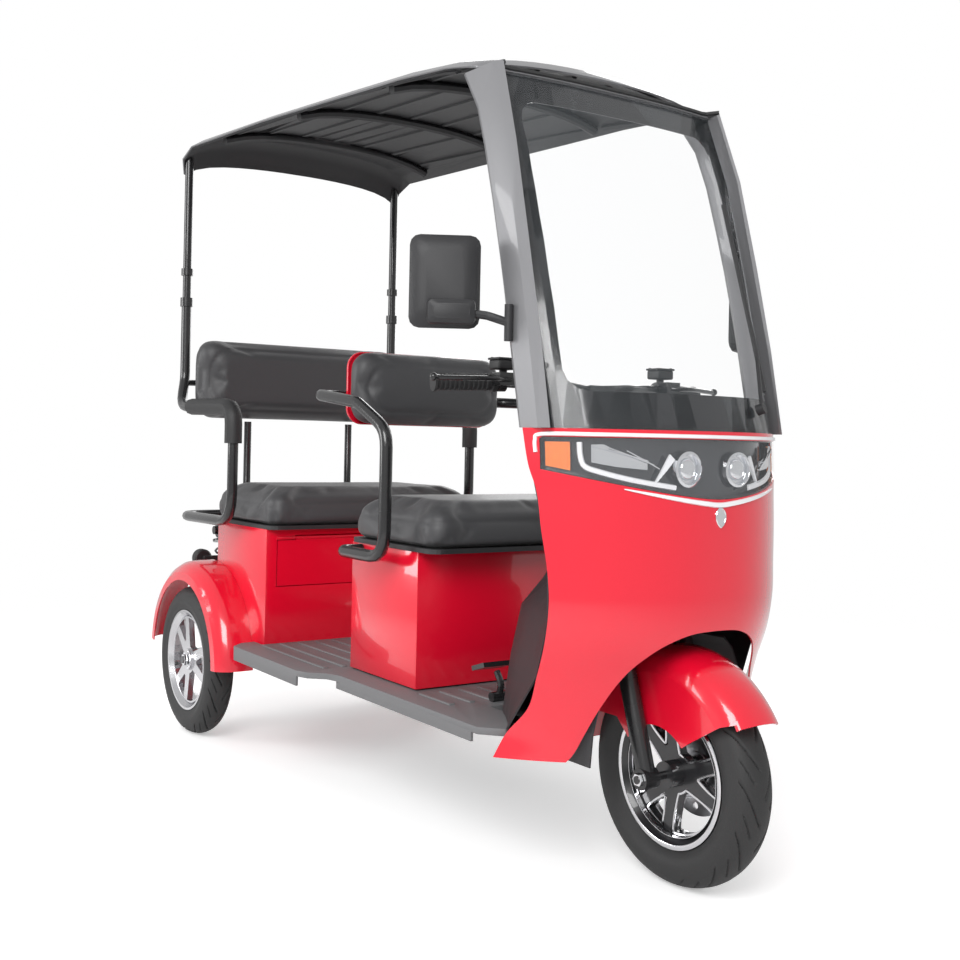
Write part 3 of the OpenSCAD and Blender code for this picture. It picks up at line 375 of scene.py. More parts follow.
# %% [markdown]
# The pieces that follow are built the same way: a mesh is shaped, given its finish, shaded
# smooth up to a sharp angle, and set to move with one body of the model. Trim that lies on a
# moulded surface is found by shooting a ray at the model's own mesh, so it always sits on it.


def finished(bm, name, mat, body, sharp=35, mats=()):
    """A mesh object at the origin with its finish, riding on a body."""
    bmesh.ops.remove_doubles(bm, verts=bm.verts, dist=0.00002)
    mesh = bpy.data.meshes.new(name)
    bm.to_mesh(mesh)
    bm.free()
    for key in (mat, *mats):
        mesh.materials.append(FINISHES[key])
    mesh.shade_smooth()
    mesh.set_sharp_from_angle(angle=math.radians(sharp))
    obj = bpy.data.objects.new(name, mesh)
    bpy.context.scene.collection.objects.link(obj)
    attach(obj, body)
    return obj


def outward(bm):
    """Turns every face outwards once the doubles are merged."""
    bmesh.ops.remove_doubles(bm, verts=bm.verts, dist=0.00002)
    bmesh.ops.recalc_face_normals(bm, faces=bm.faces)


def skin_rings(bm, rings, closed=False, caps=True):
    """Joins equal rings of points into a skin, with flat ends if it is open."""
    rows = [[bm.verts.new(p) for p in ring] for ring in rings]
    pairs = list(zip(rows, rows[1:]))
    if closed:
        pairs.append((rows[-1], rows[0]))
    for a, b in pairs:
        for i in range(len(a)):
            j = (i + 1) % len(a)
            bm.faces.new((a[i], a[j], b[j], b[i]))
    if caps and not closed:
        bm.faces.new(rows[0][::-1])
        bm.faces.new(rows[-1])


def curve_through(points, steps=8, closed=False):
    """A smooth run of points through the given ones."""
    pts = [Vector(p) for p in points]
    n = len(pts)
    out = []
    for i in range(n if closed else n - 1):
        if closed:
            a, b, c, d = (pts[(i + k) % n] for k in (-1, 0, 1, 2))
        else:
            a, b, c, d = pts[max(i - 1, 0)], pts[i], pts[i + 1], pts[min(i + 2, n - 1)]
        for k in range(steps):
            t = k / steps
            out.append(0.5 * (2 * b + (c - a) * t + (2 * a - 5 * b + 4 * c - d) * t * t
                              + (3 * b - a - 3 * c + d) * t ** 3))
    if not closed:
        out.append(pts[-1])
    return out


def pipe(bm, points, radius, sides=12, closed=False):
    """A round tube through the points; the radius may be one number or one for each point."""
    pts = [Vector(p) for p in points]
    n = len(pts)
    radii = radius if isinstance(radius, (list, tuple)) else [radius] * n
    rings = []
    side = None
    for i, p in enumerate(pts):
        before = pts[i - 1] if closed or i > 0 else p
        after = pts[(i + 1) % n] if closed or i < n - 1 else p
        along = (after - before).normalized()
        if side is None:
            side = along.orthogonal().normalized()
        side = (side - along * side.dot(along)).normalized()
        other = along.cross(side)
        rings.append([p + radii[i] * (math.cos(a) * side + math.sin(a) * other)
                      for a in (2 * math.pi * k / sides for k in range(sides))])
    skin_rings(bm, rings, closed=closed)


def cast(tree, start, direction):
    """Where a ray meets the tree: place and unit normal facing the ray."""
    direction = Vector(direction).normalized()
    place, normal, _, _ = tree.ray_cast(Vector(start), direction)
    if place is None:
        return None
    return place, (-normal if normal.dot(direction) > 0 else normal)


def smooth_normals(hits, rounds=3):
    """Evens out the normals along a run of ray hits."""
    places = [h[0] for h in hits]
    normals = [h[1] for h in hits]
    for _ in range(rounds):
        last = len(normals) - 1
        normals = [(normals[max(i - 1, 0)] + normals[i] + normals[min(i + 1, last)]).normalized()
                   for i in range(len(normals))]
    return list(zip(places, normals))


def band(bm, hits, width, height, sink=0.0006, edge=0.7):
    """A low bar laid along a run of (place, normal), with sloped edges and flat ends."""
    rings = []
    n = len(hits)
    for i, (p, normal) in enumerate(hits):
        along = (hits[min(i + 1, n - 1)][0] - hits[max(i - 1, 0)][0]).normalized()
        side = normal.cross(along).normalized()
        w = width[i] if isinstance(width, (list, tuple)) else width
        rings.append([p - side * w / 2 - normal * sink, p + side * w / 2 - normal * sink,
                      p + side * w / 2 * edge + normal * height, p - side * w / 2 * edge + normal * height])
    skin_rings(bm, rings)


def screw_head(bm, place, normal, radius=0.006, height=0.0028, slot_depth=0.4):
    """A domed screw head with a round socket, standing on a surface."""
    turn = Vector(normal).to_track_quat("Z", "Y").to_matrix().to_4x4()
    spot = Matrix.Translation(Vector(place)) @ turn
    rings = [(radius, -0.0006), (radius, height * 0.45), (radius * 0.82, height * 0.85),
             (radius * 0.55, height)]
    loops = [[spot @ Vector((r * math.cos(a), r * math.sin(a), z))
              for a in (math.pi * k / 9 for k in range(18))]
             for r, z in rings]
    inner = [spot @ Vector((radius * 0.42 * math.cos(a), radius * 0.42 * math.sin(a), height))
             for a in (math.pi * k / 9 for k in range(18))]
    low = [spot @ Vector((radius * 0.38 * math.cos(a), radius * 0.38 * math.sin(a), height * slot_depth))
           for a in (math.pi * k / 9 for k in range(18))]
    skin_rings(bm, loops + [inner, low])


def solid_block(bm, low, high, bevel=0.002, segments=2):
    """A box between two corners with rounded edges."""
    made = bmesh.ops.create_cube(bm, size=1.0)
    low, high = Vector(low), Vector(high)
    for v in made["verts"]:
        v.co = Vector((low[k] + (v.co[k] + 0.5) * (high[k] - low[k]) for k in range(3)))
    edges = list({e for v in made["verts"] for e in v.link_edges})
    if bevel > 0:
        bmesh.ops.bevel(bm, geom=edges, offset=bevel, offset_type="OFFSET", segments=segments, profile=0.5,
                        affect="EDGES", material=-1)


print("helpers ready")

# %% [markdown]
# A scooter tyre is moulded in one piece: a round-shouldered tread with swept grooves that carry
# water outwards, and plain sidewalls with a few thin rings. The model's tyre is a bare solid of
# the same outline. Here the outline is spun with many steps, and the points that fall in a
# groove are lowered, so the grooves follow the round of the tread.

# %% Tyres
def tyre_outline(radius, width, bead=0.1273, flange=0.0107, rim=0.0277):
    """Half outline of a tyre from the tread's middle to the bead, as (across, out) pairs."""
    h = width / 2
    foot = bead + flange
    wall = radius - foot
    keys = [(0, radius), (h * 0.2, radius - 0.0008), (h * 0.42, radius - 0.0034),
            (h * 0.62, radius - 0.0076),
            (h * 0.78, radius - 0.0135), (h * 0.89, radius - 0.021), (h - 0.0016, foot + wall * 0.56),
            (h, foot + wall * 0.38), (h - 0.0035, foot + wall * 0.2), (rim + 0.0055, foot + 0.003),
            (rim - 0.0004, foot - 0.001), (rim - 0.0006, bead + 0.004)]
    return [(p.x, p.y) for p in curve_through([(a, b, 0) for a, b in keys], 4)]


def groove_depth(turn, across, half, repeats):
    """How much of the groove's full depth a point of the tread has, from 0 to 1."""
    u = abs(across) / half
    side = 0.0 if across >= 0 else 0.5
    if u > 0.93:
        return 0.0
    best = 0.0
    for start, begin, end, sweep, wide in ((0.0, 0.06, 0.90, 1.05, 0.052), (0.5, 0.40, 0.80, 1.05, 0.036)):
        if u < begin - 0.03:
            continue
        lane = (turn * repeats / (2 * math.pi) + side + start - sweep * (u ** 1.35)) % 1.0
        off = min(lane, 1 - lane) / wide
        closing = max(0.0, (end - u) / 0.05) if u > end - 0.05 else 1.0
        fade = min(1.0, max(0.0, (u - begin + 0.03) / 0.05), closing)
        best = max(best, fade * min(1.0, max(0.0, 1.6 - 1.6 * off)))
    return best


def tyre_piece(node, name, body, repeats, steps=540, groove=0.0042):
    """A tyre with grooves and sidewall rings, in place of the model's plain one."""
    low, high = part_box(node)
    centre = middle(node)
    radius = (high[2] - low[2]) / 2
    width = high[1] - low[1]
    half = tyre_outline(radius, width)
    inner = [(w - 0.004, r + 0.001) for w, r in half[-1:]]
    line = half + inner
    full = [(-w, r) for w, r in reversed(line)] + line[1:]
    bm = bmesh.new()
    verts = [bm.verts.new((centre.x, centre.y + w, centre.z + r)) for w, r in full]
    for a, b in zip(verts, verts[1:]):
        bm.edges.new((a, b))
    bmesh.ops.spin(bm, geom=bm.verts[:] + bm.edges[:], cent=centre, axis=(0, 1, 0), angle=2 * math.pi,
                   steps=steps, use_merge=True)
    foot = 0.138
    for v in bm.verts:
        out = Vector((v.co.x - centre.x, 0, v.co.z - centre.z))
        r = out.length
        across = v.co.y - centre.y
        turn = math.atan2(out.z, out.x)
        if r > radius - 0.03:
            r_new = r - groove * groove_depth(turn, across, width / 2, repeats)
        elif r > foot + 0.006:
            place = (r - foot) / (radius - foot)
            r_new = r
            ridge = 0.0008 if (0.16 < place < 0.19 or 0.44 < place < 0.47) else 0.0
            v.co.y += math.copysign(ridge, across)
        else:
            r_new = r
        out = out.normalized() * r_new
        v.co.x = centre.x + out.x
        v.co.z = centre.z + out.z
    outward(bm)
    obj = finished(bm, name, "tyre_rubber", body, sharp=50)
    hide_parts(node)
    return obj


for args in (("front_tyre", "tyre_front", "front_wheel", 13),
             ("rear_tyre_right", "tyre_rear_right", "rear_wheel_right", 15),
             ("rear_tyre_left", "tyre_rear_left", "rear_wheel_left", 15)):
    made = tyre_piece(*args)
    print(made.name, len(made.data.polygons), "faces")

# %% [markdown]
# The seat pads are foam in a sewn leatherette cover. Foam swells against its cover, so the top
# crowns, the corners stay soft and the sides pull in at the seams. Each pad starts from the
# model's own shape, a little smaller, is filled by a cloth simulation with an inner pressure,
# and may swell only by a few millimetres, so it stays in its place. Seams come afterwards.

# %% Padded seats and backrests
def swollen(obj, cap, pressure, hold):
    """Fills the piece by cloth pressure; no point moves further than cap, held ones not at all."""
    rest = [v.co.copy() for v in obj.data.vertices]
    group = obj.vertex_groups.new(name="held")
    for i, p in enumerate(rest):
        w = hold(p)
        if w > 0:
            group.add([i], w, "REPLACE")
    cloth = obj.modifiers.new("cloth", "CLOTH")
    cloth.settings.quality = 5
    cloth.settings.mass = 0.4
    cloth.settings.tension_stiffness = 25
    cloth.settings.compression_stiffness = 25
    cloth.settings.bending_stiffness = 2.0
    cloth.settings.use_pressure = True
    cloth.settings.uniform_pressure_force = pressure
    cloth.settings.effector_weights.gravity = 0.0
    cloth.settings.vertex_group_mass = "held"
    cloth.collision_settings.use_collision = False
    cloth.point_cache.frame_start = 1
    cloth.point_cache.frame_end = 16
    for f in range(1, 17):
        bpy.context.scene.frame_set(f)
    seen = obj.evaluated_get(bpy.context.evaluated_depsgraph_get()).to_mesh()
    moved = [v.co.copy() for v in seen.vertices]
    obj.evaluated_get(bpy.context.evaluated_depsgraph_get()).to_mesh_clear()
    obj.modifiers.remove(cloth)
    obj.vertex_groups.remove(group)
    bpy.context.scene.frame_set(1)
    for v, a, b in zip(obj.data.vertices, rest, moved):
        step = b - a
        if step.length > cap:
            step = step.normalized() * cap
        v.co = a + step


def pad_piece(node, name, body, axis, cap=0.012, shrink=0.006, voxel=0.008, seam=None, pressure=4.0,
              cut=0.0):
    """A padded piece in place of a model cushion, lying against its low side along an axis."""
    low, high = (Vector(c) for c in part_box(node))
    bm = bmesh.new()
    bm.from_mesh(NODES[node].data)
    bmesh.ops.transform(bm, matrix=NODES[node].matrix_world, verts=bm.verts)
    bmesh.ops.remove_doubles(bm, verts=bm.verts, dist=0.0001)
    if cut:
        place = Vector((0, 0, 0))
        place[axis] = low[axis] + cut
        normal = Vector((0, 0, 0))
        normal[axis] = 1.0
        made = bmesh.ops.bisect_plane(bm, geom=bm.verts[:] + bm.edges[:] + bm.faces[:], plane_co=place,
                                      plane_no=normal, clear_inner=True)
        rim = [e for e in made["geom_cut"] if isinstance(e, bmesh.types.BMEdge)]
        bmesh.ops.edgeloop_fill(bm, edges=rim)
        low[axis] += cut
    mesh = bpy.data.meshes.new(name)
    bm.to_mesh(mesh)
    bm.free()
    obj = bpy.data.objects.new(name, mesh)
    bpy.context.scene.collection.objects.link(obj)
    remesh = obj.modifiers.new("remesh", "REMESH")
    remesh.mode = "VOXEL"
    remesh.voxel_size = voxel
    deps = bpy.context.evaluated_depsgraph_get()
    obj.data = bpy.data.meshes.new_from_object(obj.evaluated_get(deps))
    obj.modifiers.clear()
    bm = bmesh.new()
    bm.from_mesh(obj.data)
    for _ in range(4):
        bmesh.ops.smooth_vert(bm, verts=bm.verts, factor=0.5, use_axis_x=True, use_axis_y=True,
                              use_axis_z=True)
    middle_place = (low + high) / 2
    for v in bm.verts:
        for k in range(3):
            size = (high[k] - low[k]) / 2
            less = shrink * (0.5 if k == axis else 1.0)
            v.co[k] = middle_place[k] + (v.co[k] - middle_place[k]) * (size - less) / size
        if v.co[axis] < low[axis] + 0.004:
            v.co[axis] = low[axis] + 0.0003
    bm.to_mesh(obj.data)
    bm.free()
    swollen(obj, cap, pressure, lambda p: 1.0 if p[axis] < low[axis] + 0.008 else 0.0)
    bm = bmesh.new()
    bm.from_mesh(obj.data)
    bmesh.ops.smooth_vert(bm, verts=bm.verts, factor=0.5, use_axis_x=True, use_axis_y=True, use_axis_z=True)
    for v in bm.verts:
        v.co[axis] = max(v.co[axis], low[axis] + 0.0003)
        if seam:
            v.co += seam(v.co, low, high)
    outward(bm)
    obj.data.clear_geometry()
    bm.to_mesh(obj.data)
    bm.free()
    obj.data.materials.clear()
    obj.data.materials.append(FINISHES["seat_cover"])
    obj.data.shade_smooth()
    sub = obj.modifiers.new("subdivision", "SUBSURF")
    sub.levels = 1
    sub.render_levels = 1
    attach(obj, body)
    return obj


def dent(distance, width, depth):
    """A soft groove: how deep it is at a distance from its line."""
    return depth * math.exp(-(distance / width) ** 2)


def cushion_seam(p, low, high):
    """The seam round a cushion's side, where its top panel meets the band below."""
    level = low.z + (high.z - low.z) * 0.60
    inward = Vector(((low.x + high.x) / 2 - p.x, (low.y + high.y) / 2 - p.y, 0)).normalized()
    return inward * dent(p.z - level, 0.0045, 0.0032)


def backrest_seam(p, low, high):
    """The seam that frames a backrest's front panel, an even way in from its edge."""
    margin = 0.036
    y = min(p.y - low.y, high.y - p.y)
    z = min(p.z - low.z, high.z - p.z)
    corner = 0.06
    if y < corner + margin and z < corner + margin:
        edge = corner + margin - math.hypot(corner + margin - y, corner + margin - z)
    else:
        edge = min(y, z)
    if p.x < low.x + (high.x - low.x) * 0.55:
        return Vector((0, 0, 0))
    return Vector((-dent(edge - margin, 0.005, 0.0040), 0, 0))


pads = [pad_piece("front_cushion", "pad_front_seat", "front_seat", 2, seam=cushion_seam),
        pad_piece("rear_cushion", "pad_rear_seat", "rear_seat", 2, seam=cushion_seam),
        pad_piece("rear_backrest", "pad_rear_back", "chassis", 0, seam=backrest_seam),
        pad_piece("front_backrest", "pad_front_back", "chassis", 0, seam=backrest_seam, cut=0.0092)]
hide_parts("front_cushion")
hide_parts("rear_cushion")
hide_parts("rear_backrest")
for pad in pads:
    print(pad.name, len(pad.data.polygons), "faces")

# %% [markdown]
# The front backrest has a gloss red shell behind its pad. It is a shallow dish: the pad sits in
# it, and its rim shows as a thin bright line all round.

# %% The red shell behind the front backrest
def backrest_shell():
    """A shallow dish with a rounded rim, the size of the model's own shell."""
    low, high = (Vector(c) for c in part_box("front_backrest"))
    centre = (low + high) / 2
    half_y = (high.y - low.y) / 2 - 0.004
    half_z = (high.z - low.z) / 2 - 0.004
    bm = bmesh.new()
    rings = []
    for x, trim in ((0.0, 0.012), (0.0012, 0.006), (0.0045, 0.0012), (0.009, 0.0), (0.012, 0.0008),
                    (0.012, 0.004),
                    (0.0088, 0.006)):
        ring = []
        r = 0.042 - trim
        for sy, sz, start in ((1, 1, 0), (-1, 1, 90), (-1, -1, 180), (1, -1, 270)):
            for k in range(9):
                a = math.radians(start + k * 90 / 8)
                ring.append(Vector((low.x + x, centre.y + sy * (half_y - trim - r) + r * math.cos(a),
                                    centre.z + sz * (half_z - trim - r) + r * math.sin(a))))
        rings.append(ring)
    skin_rings(bm, rings)
    outward(bm)
    return finished(bm, "shell_front_back", "red_gloss", "chassis")


backrest_shell()
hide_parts("front_backrest")

# %% [markdown]
# The moulded nose is the piece that the eye meets first, so it is modelled again with a fine,
# even grid: its rows follow the model's own heights, widths and depths, and a smooth curve runs
# through them. The wheel arch and the lamp's opening are cut out of it, and the wall is a few
# millimetres thick as on a real moulding.

# %% A smooth nose
FACE = [(245, 20, -150, 330), (290, 30, -135, 312), (340, 44, -102, 288), (400, 56, -80, 286),
        (470, 84, -56, 287),
        (540, 95, -44, 289), (600, 95, -47, 292), (675, 92, -56, 301), (740, 90, -64, 306),
        (790, 89, -77, 317),
        (856, 88, -90, 322)]


def face_rows():
    """Rows of the nose at even heights: height, middle, side and half width, on a smooth curve."""
    fine = []
    for i in range(len(FACE) - 1):
        quad = [FACE[min(max(i + k, 0), len(FACE) - 1)] for k in (-1, 0, 1, 2)]
        for k in range(12):
            t = k / 12
            row = []
            for c in range(4):
                a, b, d, e = (q[c] for q in quad)
                if c == 0:
                    row.append(b + (d - b) * t)
                else:
                    m0 = (d - a) / max(quad[2][0] - quad[0][0], 1) * (quad[2][0] - quad[1][0])
                    m1 = (e - b) / max(quad[3][0] - quad[1][0], 1) * (quad[2][0] - quad[1][0])
                    row.append((2 * t ** 3 - 3 * t ** 2 + 1) * b + (t ** 3 - 2 * t ** 2 + t) * m0
                               + (3 * t ** 2 - 2 * t ** 3) * d + (t ** 3 - t ** 2) * m1)
            fine.append(row)
    fine.append(list(FACE[-1]))
    return fine


def prism(name, outline, x0, x1):
    """A cutter: an outline in the plane across the vehicle, drawn out along it."""
    bm = bmesh.new()
    rings = [[at(x, y, z) for y, z in outline] for x in (x0, x1)]
    skin_rings(bm, rings)
    outward(bm)
    mesh = bpy.data.meshes.new(name)
    bm.to_mesh(mesh)
    bm.free()
    obj = bpy.data.objects.new(name, mesh)
    bpy.context.scene.collection.objects.link(obj)
    return obj


def cut_and_apply(obj, cutters, operation="DIFFERENCE"):
    """Takes the cutters out of the piece, or keeps what lies in them, and removes them."""
    for cutter in cutters:
        mod = obj.modifiers.new("cut", "BOOLEAN")
        mod.operation = operation
        mod.object = cutter
        mod.solver = "EXACT"
    deps = bpy.context.evaluated_depsgraph_get()
    done = bpy.data.meshes.new_from_object(obj.evaluated_get(deps))
    obj.modifiers.clear()
    obj.data = done
    for cutter in cutters:
        bpy.data.objects.remove(cutter, do_unlink=True)


def arch_points():
    """The wheel arch's outline, as smooth as the moulding's."""
    side = [(-330, 192), (-290, 208), (-252, 228), (-226, 256), (-210, 296), (-194, 345), (-174, 392),
            (-150, 432),
            (-112, 466), (-60, 486), (0, 490)]
    run = [(p.x, p.y) for p in curve_through([(y, z, 0) for y, z in side], 5)]
    return run + [(-y, z) for y, z in reversed(run[:-1])]


def lamp_low(y):
    """The lamp's lower edge: it rises from the middle towards the ends."""
    return 732 + 50 * (abs(y) / 300) ** 1.6


def lamp_outline(grow):
    """The lamp's outline seen from the front, made larger by a few millimetres."""
    half = 302 + grow
    low = [(half * k / 20, lamp_low(302 * k / 20) - grow) for k in range(-20, 21)]
    return low + [(half, 836 + grow), (half - 4, 840 + grow), (-half + 4, 840 + grow), (-half, 836 + grow)]


def front_wall(name, low, high, thick, back=0.0):
    """A closed wall that follows the nose between two heights, some way behind its surface."""
    bm = bmesh.new()
    rows = []
    n = 36
    for z, mid, side, half in face_rows():
        if z < low or z > high:
            continue
        row = []
        for j in range(n, -n - 1, -1):
            u = j / n
            y = half * (math.sin(math.pi / 2 * u) * 0.35 + 0.65 * u)
            x = side + (mid - side) * (1 - min(1, abs(y) / half) ** 2.4)
            row.append(bm.verts.new(at(x - back, y * (1 - back * 0.0011), z)))
        rows.append(row)
    for a, b in zip(rows, rows[1:]):
        for i in range(2 * n):
            bm.faces.new((a[i], a[i + 1], b[i + 1], b[i]))
    bm.faces.ensure_lookup_table()
    bm.normal_update()
    middle_face = max(bm.faces, key=lambda f: f.calc_center_median().x)
    if middle_face.normal.x < 0:
        bmesh.ops.reverse_faces(bm, faces=bm.faces)
    bmesh.ops.solidify(bm, geom=bm.faces[:], thickness=thick)
    outward(bm)
    mesh = bpy.data.meshes.new(name)
    bm.to_mesh(mesh)
    bm.free()
    obj = bpy.data.objects.new(name, mesh)
    bpy.context.scene.collection.objects.link(obj)
    return obj


def dress(obj, mat, body, sharp=35):
    """Finish, smooth shading and body for a piece that was made as an object."""
    obj.data.materials.clear()
    obj.data.materials.append(FINISHES[mat])
    obj.data.shade_smooth()
    obj.data.set_sharp_from_angle(angle=math.radians(sharp))
    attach(obj, body)


def object_tree(*objs):
    """A tree of some finished pieces' faces, for rays."""
    verts = []
    faces = []
    for obj in objs:
        base = len(verts)
        verts += [v.co.copy() for v in obj.data.vertices]
        faces += [[base + i for i in p.vertices] for p in obj.data.polygons]
    return BVHTree.FromPolygons(verts, faces)


nose = front_wall("nose_moulding", 0, 900, 0.004)
cut_and_apply(nose, [prism("arch_cut", arch_points(), -500, 400),
                     prism("lamp_cut", lamp_outline(1), -300, 400)])
dress(nose, "red_gloss", "chassis")
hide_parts("nose_shell")
lens = front_wall("lamp_cover", 700, 856, 0.003)
cut_and_apply(lens, [prism("lens_edge", lamp_outline(0), -300, 400)], "INTERSECT")
dress(lens, "lamp_lens", "chassis")
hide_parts("headlamp_lens")
nose_tree = object_tree(nose, lens)
dish = front_wall("lamp_dish", 700, 856, 0.030, back=3.6)
hollow = front_wall("lamp_hollow", 690, 856, 0.027, back=1.0)
cut_and_apply(dish, [prism("dish_edge", lamp_outline(2.5), -300, 400)], "INTERSECT")
cut_and_apply(hollow, [prism("hollow_edge", lamp_outline(-1.5), -300, 400)], "INTERSECT")
cut_and_apply(dish, [hollow])
dress(dish, "lamp_body", "chassis")
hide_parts("headlamp_body")
print("nose:", len(nose.data.polygons), "lens:", len(lens.data.polygons), "faces")

# %% [markdown]
# The other mouldings and sheets are shaded smooth. The model keeps flat facets on the surfaces
# that it builds from grids of points, so each of them is copied, welded and given smooth shading
# up to a sharp edge. On the seat boxes and the footboard a narrow bevel catches the light along those
# edges.

# %% Smooth copies of the model's mouldings
def smooth_copy(node, body, angle=34, bevel=0.0):
    """A welded, smooth-shaded copy of a model piece that takes its place."""
    row = next(r for r in frame["record"]["subparts"] if r["node"] == node)
    bm = bmesh.new()
    bm.from_mesh(NODES[node].data)
    bmesh.ops.transform(bm, matrix=NODES[node].matrix_world, verts=bm.verts)
    bmesh.ops.remove_doubles(bm, verts=bm.verts, dist=0.00005)
    bmesh.ops.dissolve_limit(bm, angle_limit=math.radians(0.8), verts=bm.verts, edges=bm.edges)
    if bevel > 0:
        edges = [e for e in bm.edges if len(e.link_faces) == 2 and e.calc_face_angle(0) > math.radians(45)]
        bmesh.ops.bevel(bm, geom=edges, offset=bevel, offset_type="OFFSET", segments=2, profile=0.5,
                        affect="EDGES", material=-1, clamp_overlap=True)
    mesh = bpy.data.meshes.new(node + "_smooth")
    bm.to_mesh(mesh)
    bm.free()
    obj = bpy.data.objects.new(node + "_smooth", mesh)
    bpy.context.scene.collection.objects.link(obj)
    dress(obj, row["material_slot"], body, angle)
    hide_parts(node)
    return obj


for node, angle, bevel in (("windscreen", 30, 0), ("screen_border", 30, 0), ("front_pillars", 32, 0),
                           ("roof_shell", 40, 0), ("roof_liner", 40, 0), ("leg_shield", 30, 0),
                           ("wheelhouse", 30, 0),
                           ("mirrors", 34, 0), ("rear_fenders", 34, 0), ("armrest_pads", 40, 0),
                           ("front_seat_frame", 50, 0), ("rear_seat_frame", 50, 0),
                           ("front_seat_box", 30, 0.006), ("rear_seat_box", 30, 0.003),
                           ("footboard", 30, 0.0015)):
    made = smooth_copy(node, "chassis", angle, bevel)
for node, body, angle in (("front_fender", "steering", 34), ("handlebar", "steering", 50),
                          ("brake_levers", "steering", 50),
                          ("storage_door", "door", 30)):
    made = smooth_copy(node, body, angle)
print("smooth copies made")

# %% [markdown]
# The headlamp is one wide unit behind a clear lens that follows the nose. Behind the lens sit
# an amber turn signal at each end, an L-shaped light guide that runs under it, bright reflector
# wings and a round projector beside the middle. Each of them is laid on a surface just behind
# the lens, found by rays from the front, so the parts keep the lens' curve.

# %% Headlamp parts
def front_hits(points, lift=0.0, steps=4, smooth=True):
    """Places and normals on the nose for a run of (across, height) points in millimetres."""
    run = curve_through([(0, y / 1000, z / 1000) for y, z in points], steps) if smooth else \
        [Vector((0, y / 1000, z / 1000)) for y, z in points]
    hits = []
    for p in run:
        found = cast(nose_tree, (front_axle.x + 0.6, p.y, p.z), (-1, 0, 0))
        if found:
            hits.append((found[0] + found[1] * lift, found[1]))
    return smooth_normals(hits)


def front_patch(bm, outline, lift, thick):
    """A thin curved panel on the nose inside two edges given as (across, low, high)."""
    rows = []
    for y, low, high in outline:
        rows.append([(y, low + (high - low) * k / 4) for k in range(5)])
    outer = []
    inner = []
    for row in rows:
        o_line = []
        i_line = []
        for y, z in row:
            found = cast(nose_tree, (front_axle.x + 0.6, y / 1000, z / 1000), (-1, 0, 0))
            if not found:
                return
            o_line.append(found[0] + found[1] * lift)
            i_line.append(found[0] + found[1] * (lift - thick))
        outer.append(o_line)
        inner.append(i_line)
    rings = [o + i[::-1] for o, i in zip(outer, inner)]
    skin_rings(bm, rings)


LAMP_IN = -0.014


def lamp_parts():
    """Everything behind the lens, for both sides."""
    made = []
    for side in (-1, 1):
        tag = "right" if side < 0 else "left"
        bm = bmesh.new()
        front_patch(bm, [(side * y, lamp_low(y) + 7, 832) for y in (297, 291, 284, 276, 266)],
                    -0.0045, 0.010)
        outward(bm)
        made.append(finished(bm, "signal_" + tag, "lamp_amber", "chassis"))
        bm = bmesh.new()
        guide = [(254, 832), (253, 806), (247, 788), (228, 779), (190, 768), (150, 760), (96, 752)]
        hits = front_hits([(side * y, z) for y, z in guide], LAMP_IN + 0.003)
        if side > 0:
            hits = hits[::-1]
        band(bm, hits, 0.011, 0.004)
        outward(bm)
        made.append(finished(bm, "light_guide_" + tag, "lamp_white", "chassis"))
        bm = bmesh.new()
        front_patch(bm, [(side * y, low, high) for y, low, high in
                         ((238, 796, 828), (220, 792, 829), (198, 788, 816), (174, 786, 808),
                          (150, 784, 802))],
                    LAMP_IN + 0.004, 0.005)
        for k in range(3):
            run = front_hits([(side * (238 - 26 * k), 826 - 4 * k), (side * (150 - 10 * k), 800 - 7 * k)],
                             LAMP_IN + 0.007)
            band(bm, run if side < 0 else run[::-1], 0.003, 0.003)
        outward(bm)
        made.append(finished(bm, "reflector_" + tag, "chrome", "chassis"))
        bm = bmesh.new()
        spot, normal = front_hits([(side * 66, 786), (side * 60, 786)], LAMP_IN - 0.002, 1)[0]
        turn = Vector((1, 0, 0)).to_track_quat("Z", "Y").to_matrix().to_4x4()
        frame_spot = Matrix.Translation(spot) @ turn
        profile = [(0.034, -0.004), (0.033, 0.004), (0.0285, 0.006), (0.0265, 0.001), (0.0255, -0.004),
                   (0.0205, -0.0045),
                   (0.0195, 0.001), (0.0155, 0.0045), (0.008, 0.0065), (0.002, 0.007)]
        rings = [[frame_spot @ Vector((r * math.cos(a), r * math.sin(a), z))
                  for a in (2 * math.pi * k / 40 for k in range(40))] for r, z in profile]
        skin_rings(bm, rings)
        outward(bm)
        made.append(finished(bm, "projector_" + tag, "chrome", "chassis", sharp=40))
        bm = bmesh.new()
        for k in range(5):
            run = front_hits([(side * (136 - 5 * k), 758 + 6 * k), (side * (106 - 2 * k), 812 - 2 * k)],
                             LAMP_IN)
            band(bm, run if side < 0 else run[::-1], 0.0035, 0.004)
        outward(bm)
        made.append(finished(bm, "lamp_fins_" + tag, "lamp_white", "chassis"))
    return made


for obj in lamp_parts():
    print(obj.name, len(obj.data.polygons), "faces")

# %% [markdown]
# Bright white trim frames the lamp: a thin strip along its top that turns down at the ends, and
# a second one along its lower edge that dips in a shallow V at the middle. Below the V is a
# small plain shield, which carries no sign here. Both are laid on the nose by rays.

# %% Trim round the headlamp
bm = bmesh.new()
top_run = [(-308, 812), (-308, 834), (-300, 845), (-240, 846), (-120, 846), (0, 846), (120, 846),
           (240, 846),
           (300, 845), (308, 834), (308, 812)]
band(bm, front_hits(top_run, 0.0, 6), 0.008, 0.0035)
outward(bm)
top_trim = finished(bm, "trim_lamp_top", "lamp_white", "chassis")

